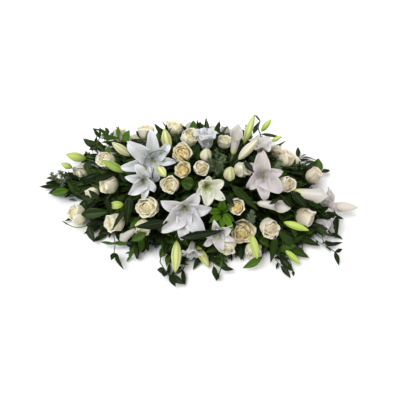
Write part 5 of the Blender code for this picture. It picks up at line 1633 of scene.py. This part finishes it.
# Single leaves in the photograph: pixels of base and tip, width in pixels, kind, brightness
SHOWN_LEAVES = (
    ((84, 179), (99, 172.5), 5, "ruscus", 0.0), ((94, 181), (116, 173.5), 6, "ruscus", 0.0),
    ((100, 200), (88, 190), 6, "ruscus", 0.05), ((94.5, 201), (79, 195), 6, "ruscus", 0.05),
    ((96, 202), (83, 212), 6, "ruscus", 0.0), ((107, 199), (111, 213), 6, "ruscus", 0.0),
    ((81.5, 214.5), (107, 212), 11, "salal", 0.06), ((130, 195), (126, 226), 9, "lily_leaf", 0.0),
    ((126, 208), (111.5, 230), 5, "lily_leaf", 0.0), ((167.5, 222), (133, 228), 9, "lily_leaf", 0.0),
    ((180.5, 238), (225, 230.5), 8, "lily_leaf", 0.0), ((231, 185), (259, 211), 8, "lily_leaf", 0.05),
    ((275.5, 236), (271, 264), 7, "lily_leaf", 0.06), ((279, 231), (298, 251), 8, "lily_leaf", 0.10),
    ((334, 211), (338, 239), 7, "lily_leaf", 0.0), ((282, 196), (292.5, 208), 6, "ruscus", 0.0),
    ((269.5, 204), (281, 197.5), 3.5, "ruscus", 0.0), ((292, 191), (306, 207), 9, "salal", 0.0),
    ((194, 185), (181, 182), 13, "salal", 0.16), ((177, 143), (176, 132), 6, "ruscus", 0.0),
    ((92, 151), (99, 141), 5, "ruscus", 0.1), ((104, 139), (117, 137), 6, "ruscus", 0.2),
    ((118.5, 138), (118, 126), 5, "ruscus", 0.5), ((124, 142), (129, 130), 9, "ruscus", 0.42),
    ((261, 134), (283, 137), 4, "lily_leaf", 0.1), ((86, 171), (90, 161), 9, "salal", 0.05),
    ((69, 190), (50, 194), 8, "ruscus", 0.45), ((66, 186), (42, 187), 6, "ruscus", 0.1),
    ((226, 195), (234, 207), 6, "ruscus", 0.02), ((244, 162), (254, 172), 6, "ruscus", 0.0),
    ((222, 212), (222.5, 199), 7.5, "ruscus", 0.42), ((222, 212), (207, 211), 7, "ruscus", 0.5),
    ((222, 213), (210, 222), 7, "ruscus", 0.55), ((223, 213), (222, 230), 6.5, "ruscus", 0.5),
    ((223, 213), (233, 230), 6.5, "ruscus", 0.58), ((223, 212), (235, 222), 5.5, "ruscus", 0.4),
    ((222, 212), (213, 203), 6, "ruscus", 0.3), ((223, 212), (232, 204), 5.5, "ruscus", 0.3),
    ((146, 233), (131, 241), 9, "ruscus", 0.26), ((128, 243), (112, 243), 5, "ruscus", 0.35),
    ((142, 237), (141, 253), 7, "ruscus", 0.12), ((134, 246), (129, 259), 5, "ruscus", 0.20),
    ((134, 244), (138, 259), 5, "ruscus", 0.0), ((146, 240), (148, 252), 5, "ruscus", 0.0),
    ((316, 226), (333, 236), 8, "ruscus", 0.05),
    ((262, 257), (243, 269), 8, "ruscus", 0.38), ((288, 246), (309, 258), 8, "ruscus", 0.12),
    ((66, 182), (45, 183), 5, "ruscus", 0.0), ((62, 187), (39, 186.5), 5, "ruscus", 0.02),
    ((108, 136), (99, 128), 4, "ruscus", 0.2), ((112, 150), (104, 151), 7, "ruscus", 0.3),
    ((166, 246), (160, 258), 8, "ruscus", 0.2),
    ((296, 236), (320, 246), 7, "ruscus", 0.05), ((88, 226), (94, 242), 8, "ruscus", 0.04),
)


HALF_ROWS = 4  # rows of places that a leaf is tested at, on each half of it
LANE_WIDTH = 0.35  # how far from its rib, as a share of its width


def leaf_depths(start, end, wide, tree):
    """How far away the two halves of a leaf lie, so that neither runs into what is behind it."""
    run = Vector((end[0] - start[0], end[1] - start[1]))
    across = run.orthogonal().normalized() * wide * LANE_WIDTH
    rows = []
    for row in range(2 * HALF_ROWS + 1):
        share = row / (2 * HALF_ROWS)
        lane = across * (1.0 - abs(2 * share - 1))
        middle = Vector(start) + run * share
        rows.append(min(depth_at(middle + lane * side, tree, LEAF_SINK) for side in (-1, 0, 1)))
    return min(rows[:HALF_ROWS + 1]), min(rows[HALF_ROWS:])


def shown_leaf(kind, base, tip, up, wide, bright):
    """A leaf between two places, its width in pixels."""
    along = (tip - base).normalized()
    return {
        "kind": kind, "base": base, "along": along, "up": squared(up, along), "length": (tip - base).length,
        "half_width": wide / 2 * METRES_PER_PX, "bright": bright,
    }


def shown_leaves(found, roots, tree):
    """Each leaf lies just in front of what is behind it, on a stem from its bunch's root."""
    for start, end, wide, kind, bright in SHOWN_LEAVES:
        near, far = leaf_depths(start, end, wide, tree)
        base = EYE + sight(start) * near
        tip = EYE + sight(end) * far
        node = nearest_root(roots, base)
        up = (TOWARD + dome_outward(base) * 0.5).normalized()
        leaf = shown_leaf(kind, base, tip, up, wide, bright)
        line = filler_line(roots[node], base, (leaf["along"] * 0.3 + TOWARD).normalized())
        add_sprig(found[node], line, [leaf])


# Thin stems that the photograph shows alone: pixels along each, its radius in pixels, how far it is lifted
# towards the viewer (mm), and its leaves: the point they start from, pixels of the tip, width, brightness
TWIGS = (
    (((114, 236), (115, 244), (114, 253)), 0.45, 4, (
        (1, (99.5, 241.8), 3.2, 0.25), (2, (111.3, 260), 5.0, 0.02), (2, (119, 259), 4.0, 0.02),
        (2, (122.5, 269), 4.0, 0.04),
    )),
    (((91, 224), (85, 226.5), (76.7, 227.4), (69, 225), (62, 221)), 0.55, 4, (
        (3, (61, 220.5), 1.6, 0.25),
    )),
    (((143.6, 165), (147, 156), (155, 151.5), (162, 150.5), (166, 152)), 0.40, 10, ()),
    (((322, 238), (326, 245), (335, 252)), 0.45, 4, (
        (1, (334, 243.5), 4.0, 0.0), (1, (343, 242.5), 4.0, 0.0), (2, (343, 249), 4.0, 0.0),
        (2, (339, 265), 5.0, 0.0), (1, (327, 240), 4.5, 0.0),
    )),
    (((261, 136), (258, 127), (260, 121), (256, 115.5)), 0.6, 6, ((2, (254.5, 114.5), 1.6, 0.02),)),
    (((104, 150), (97, 145), (100, 138), (106, 137)), 0.45, 4, (
        (1, (86, 140), 5.0, 0.10), (1, (89, 150), 5.0, 0.06), (2, (93, 127.7), 4.0, 0.04),
        (2, (100, 127), 3.0, 0.15), (3, (119, 138), 4.0, 0.20),
    )),
    (((207, 130), (206.8, 124), (206.6, 118)), 0.35, 0, ()),
    (((220, 133), (219.6, 128), (219.3, 122)), 0.45, 0, ((1, (219.3, 121), 2.2, 0.12),)),
    (((160, 262), (165, 270), (170, 275)), 0.5, 4, (
        (1, (164, 276.5), 7.0, 0.0), (2, (175, 286), 6.0, 0.0), (2, (184, 284), 7.0, 0.0),
        (1, (157, 270), 6.0, 0.03),
    )),
    (((222, 262), (221, 268), (219, 274)), 0.5, 4, (
        (1, (234, 269.5), 4.5, 0.0), (2, (216, 281), 3.0, 0.0), (2, (213, 275), 4.0, 0.0),
    )),
    (((288, 256), (291, 264), (293, 271)), 0.45, 4, (
        (1, (285, 270), 2.0, 0.0), (2, (293.5, 276), 3.0, 0.03),
    )),
)
TWIG_DEPTH = 15 * MM  # how much further away than its nearest point a thin stem may run
TWIG_STEPS = 4
# Patches of ming fern: pixels of the foot and the end of each plume, and its half width in pixels
FERN_PLUMES = (
    ((66, 186), (51, 174), 6), ((70, 184), (60, 172), 5), ((214, 178), (218, 152), 7),
    ((217, 172), (224, 157), 5), ((212, 172), (209, 160), 4), ((251, 224), (252, 213), 4),
    ((276, 172), (280, 160), 4),
)
FERN_LIFT = (4 * MM, 10 * MM)  # of the foot and of the end
FERN_TWIGS = 28
TWIG_NEEDLES = 12
FERN_NEEDLE = (10 * MM, 0.8 * MM)  # length and half width
FERN_STEM = 0.9 * MM
FERN_TWIG = (0.5 * MM, 0.4 * MM)


def twigs(found, roots, tree):
    """The thin stems, each led on from its bunch's root, with their leaves."""
    for pixels, thick, lift, leaves in TWIGS:
        line = [in_view(px, tree, lift * MM) for px in pixels]
        deepest = min((point - EYE).length for point in line) + TWIG_DEPTH
        line = [EYE + (point - EYE).normalized() * min((point - EYE).length, deepest) for point in line]
        node = nearest_root(roots, line[0])
        whole = filler_line(roots[node], line[0], TOWARD) + smooth_line(line)[1:]
        found[node]["lines"].append((whole, [thick * METRES_PER_PX] * len(whole)))
        for index, end, wide, bright in leaves:
            tip = in_view(end, tree, lift * MM)
            tip.z = max(tip.z, LEAST_HEIGHT)
            found[node]["leaves"].append(shown_leaf("ruscus", line[index], tip, TOWARD, wide, bright))


def smooth_line(points):
    """More points between those of a line, on a curve through them."""
    line = [points[0]]
    for k in range(len(points) - 1):
        before = points[max(k - 1, 0)]
        after = points[min(k + 2, len(points) - 1)]
        a, d = points[k], points[k + 1]
        line += bezier(a, a + (d - before) / 6, d - (after - a) / 6, d, TWIG_STEPS)[1:]
    return line


def fern_plumes(found, roots, tree, rng):
    """Fine needles in tufts round short side twigs, which leave the plume's stem."""
    for start, end, half in FERN_PLUMES:
        foot, tip = in_view(start, tree, FERN_LIFT[0]), in_view(end, tree, FERN_LIFT[1])
        node = nearest_root(roots, foot)
        along = (tip - foot).normalized()
        stem = filler_line(roots[node], tip, along)
        found[node]["lines"].append((stem, [FERN_STEM] * len(stem)))
        for _ in range(FERN_TWIGS):
            share = rng.uniform(0.1, 1.0)
            spread = stray(rng).normalized()
            reach = half * METRES_PER_PX * rng.uniform(0.3, 1.0) * (1.2 - 0.6 * share)
            base = foot.lerp(tip, share)
            out = (along * 0.6 + spread).normalized()
            side_tip = base + out * reach
            found[node]["lines"].append(([base, side_tip], FERN_TWIG))
            for _ in range(TWIG_NEEDLES):
                place = base.lerp(side_tip, rng.uniform(0.2, 1.0))
                turn = stray(rng)
                way = (out * 0.7 + turn).normalized()
                axes = axes_from(way, turn.cross(way) + out * 0.1)
                found[node]["needles"].append(blade(
                    place, axes, FERN_NEEDLE[0] * rng.uniform(0.7, 1.3), FERN_NEEDLE[1], (2, 12, 20),
                    (0.5, 1.6, 1.0), (0.3, 0.0, 0.0), 0.6, (0.0, rng.random(), 0.0),
                ))


def fill_greens(results, tree, rng):
    """Every sprig that stands between those of the solids, by its bunch."""
    roots = {node: root_of(results[node]["solid"]) for node in results if node.startswith("greens")}
    found = {node: {"lines": [], "leaves": [], "needles": []} for node in roots}
    dome_sprigs(found, roots, tree, rng)
    rim_sprigs(found, roots, tree, rng)
    skirt_sprigs(found, roots, results, tree, rng)
    shown_leaves(found, roots, tree)
    twigs(found, roots, tree)
    fern_plumes(found, roots, tree, rng)
    return found


def clear_of_notches(leaves):
    """A leaf of the solids whose tip would cover the bare floor in a notch is a young, short one."""
    for leaf in leaves:
        if in_notch(leaf["base"] + leaf["along"] * leaf["length"]):
            leaf["length"] *= YOUNG_LEAF
            leaf["half_width"] *= YOUNG_LEAF


def add_greens(piece, result, filler, rng):
    """A bunch: the leaves and stems of its solid, and all that stands between them."""
    clear_of_notches(result["leaves"])
    share, bright, rest = BRIGHT_LEAVES
    own = [
        leaf_blade(leaf, rng, bright if rng.random() < share else rest * rng.random())
        for leaf in result["leaves"]
    ]
    shown = [leaf_blade(leaf, rng) for leaf in filler["leaves"] if "bright" in leaf]
    fill = [
        leaf_blade(leaf, rng, FILLER_BRIGHT * rng.random() ** 3)
        for leaf in filler["leaves"] if "bright" not in leaf
    ]
    add_stems(piece, result["stems"], 1)
    piece.add_mesh(blade_mesh(own + shown, *BUILDS["leaf"]), 0)
    piece.add_mesh(blade_mesh(fill, *BUILDS["filler"]), 0)
    piece.add_mesh(tube_mesh(filler["lines"], STEM, SPRIG_SIDES), 1)
    if filler["needles"]:
        piece.add_mesh(blade_mesh(filler["needles"], *BUILDS["needle"]), 2)


def add_bloom(bloom, stems, node, result, rng):
    """The heads of a node, and what is left of it: its stems.

    The plain numbers say which finish of its piece a part gets.
    """
    add_stems(stems, result["stems"], 0)
    for head in result["heads"]:
        if head["kind"] == "rose":
            warm = WARM_ROSES.get(node, rng.uniform(0.0, 0.3))
            petals = rose_petals(head, rng, warm)
            add_rose_core(bloom, head, 0, warm)
            bloom.add_mesh(blade_mesh(petals, *BUILDS["petal"]), 0)
            add_calyx(stems, head, 1, rng)
        elif head["kind"] == "lily":
            bloom.add_mesh(blade_mesh(lily_tepals(head, rng), *BUILDS["tepal"]), 0)
            add_lily_heart(bloom, head, 1, rng)
        elif head["kind"] == "bud":
            add_bud(bloom, head, 2, rng)
        else:
            add_calla(bloom, head, (0, 1), rng)


# What the nodes of each kind of bloom are finished with, and their slot
BLOOM_FINISHES = {"rose": (ROSE,), "lily": (LILY, POLLEN, BUD), "calla": (CALLA, POLLEN)}
BLOOM_SLOTS = {"rose": "rose_petals", "lily": "lily_petals", "calla": "calla_spathes"}


def kind_of(node):
    """rose, lily or calla, by how the node's name starts."""
    return next(kind for kind in BLOOM_SLOTS if node.startswith(kind))


def build_spray():
    """The blooms first, and then the greens, which keep clear of them."""
    nodes = [node for node in sorted(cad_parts) if node.startswith((*BLOOM_SLOTS, "greens"))]
    results = {node: read_node(node) for node in nodes}
    blooms, stems = {}, {}
    for number, node in enumerate(nodes):
        if not node.startswith("greens"):
            blooms[node], stems[node] = Piece(), Piece()
            add_bloom(blooms[node], stems[node], node, results[node], random.Random(SEED * 1000 + number))
    tree = bloom_tree([*blooms.values(), *stems.values()])
    fillers = fill_greens(results, tree, random.Random(SEED))
    for number, node in enumerate(nodes):
        if node.startswith("greens"):
            leaves = Piece()
            add_greens(leaves, results[node], fillers[node], random.Random(SEED * 1000 + number))
            leaves.rest_on_floor()
            leaves.finish(node + "_foliage", (LEAF, STEM, FERN), node, "green_leaves")
        else:
            kind = kind_of(node)
            blooms[node].finish(node + "_bloom", BLOOM_FINISHES[kind], node, BLOOM_SLOTS[kind])
            stems[node].finish(node + "_stem", (STEM, LEAF), node, "green_leaves")


def dress_holder():
    """The tray and the foam keep their solids' shapes and get their own finishes."""
    finishes = {"tray": tray_finish(), "foam_left": foam_finish(), "foam_right": foam_finish()}
    for node, finish in finishes.items():
        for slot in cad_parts[node].material_slots:
            slot.material = finish


# The studio

FLOOR_HALF = 40.0
SOFTNESS = math.radians(42)  # how wide each sun is
# Name, place, strength and colour of each light
LIGHTS = (
    ("key", (-1.2, -1.0, 2.8), 3.25, (0.97, 0.985, 1.0)),
    ("fill", (1.9, -1.0, 1.8), 0.9, (1.0, 0.94, 0.88)),
    ("back", (0.3, 2.0, 2.2), 0.85, (1.0, 1.0, 1.0)),
)
SKY_COLOUR = (0.97, 0.98, 1.0, 1.0)
SKY_STRENGTH = 0.15
PAPER_WHITE = (1.0, 1.0, 1.0, 1.0)  # what the camera sees beyond the floor


def add_light(name, place, strength, colour):
    """Soft light from far away, which falls alike on all of the floor."""
    data = bpy.data.lights.new(name, "SUN")
    data.angle = SOFTNESS
    data.energy = strength
    data.color = colour
    light = bpy.data.objects.new(name, data)
    light.location = place
    light.rotation_euler = (Vector(place) - SIGHT_TARGET).to_track_quat("Z", "Y").to_euler()
    bpy.context.scene.collection.objects.link(light)


def build_floor():
    """A wide sheet of white paper."""
    mesh = bpy.data.meshes.new("studio_floor")
    half = FLOOR_HALF
    corners = [(-half, -half, 0), (half, -half, 0), (half, half, 0), (-half, half, 0)]
    mesh.from_pydata(corners, [], [(0, 1, 2, 3)])
    mesh.materials.append(floor_finish())
    floor = bpy.data.objects.new("studio_floor", mesh)
    bpy.context.scene.collection.objects.link(floor)


def build_sky():
    """A weak sky that lights the spray, and plain white where the camera sees past the floor."""
    world = bpy.data.worlds.new("studio")
    world.use_nodes = True
    nodes = world.node_tree.nodes
    nodes["Background"].inputs[0].default_value = SKY_COLOUR
    nodes["Background"].inputs[1].default_value = SKY_STRENGTH
    bright = nodes.new("ShaderNodeBackground")
    bright.inputs[0].default_value = PAPER_WHITE
    either = nodes.new("ShaderNodeMixShader")
    path = nodes.new("ShaderNodeLightPath")
    links = world.node_tree.links
    links.new(path.outputs["Is Camera Ray"], either.inputs[0])
    links.new(nodes["Background"].outputs[0], either.inputs[1])
    links.new(bright.outputs[0], either.inputs[2])
    links.new(either.outputs[0], nodes["World Output"].inputs["Surface"])
    bpy.context.scene.world = world


def build_camera():
    """A camera where the photograph was taken from, which shows the same field."""
    camera_data = bpy.data.cameras.new("camera")
    camera_data.sensor_width = SENSOR
    camera_data.lens = SENSOR * SIGHT_DISTANCE / METRES_PER_PX / PHOTO_SIDE
    camera = bpy.data.objects.new("camera", camera_data)
    turn = Matrix((RIGHT, UP, TOWARD)).transposed().to_4x4()
    camera.matrix_world = Matrix.Translation(EYE) @ turn
    bpy.context.scene.collection.objects.link(camera)
    bpy.context.scene.camera = camera


build_spray()
dress_holder()
build_floor()
for name, place, strength, colour in LIGHTS:
    add_light(name, place, strength, colour)
build_sky()
build_camera()
bpy.context.scene.view_settings.view_transform = "Standard"
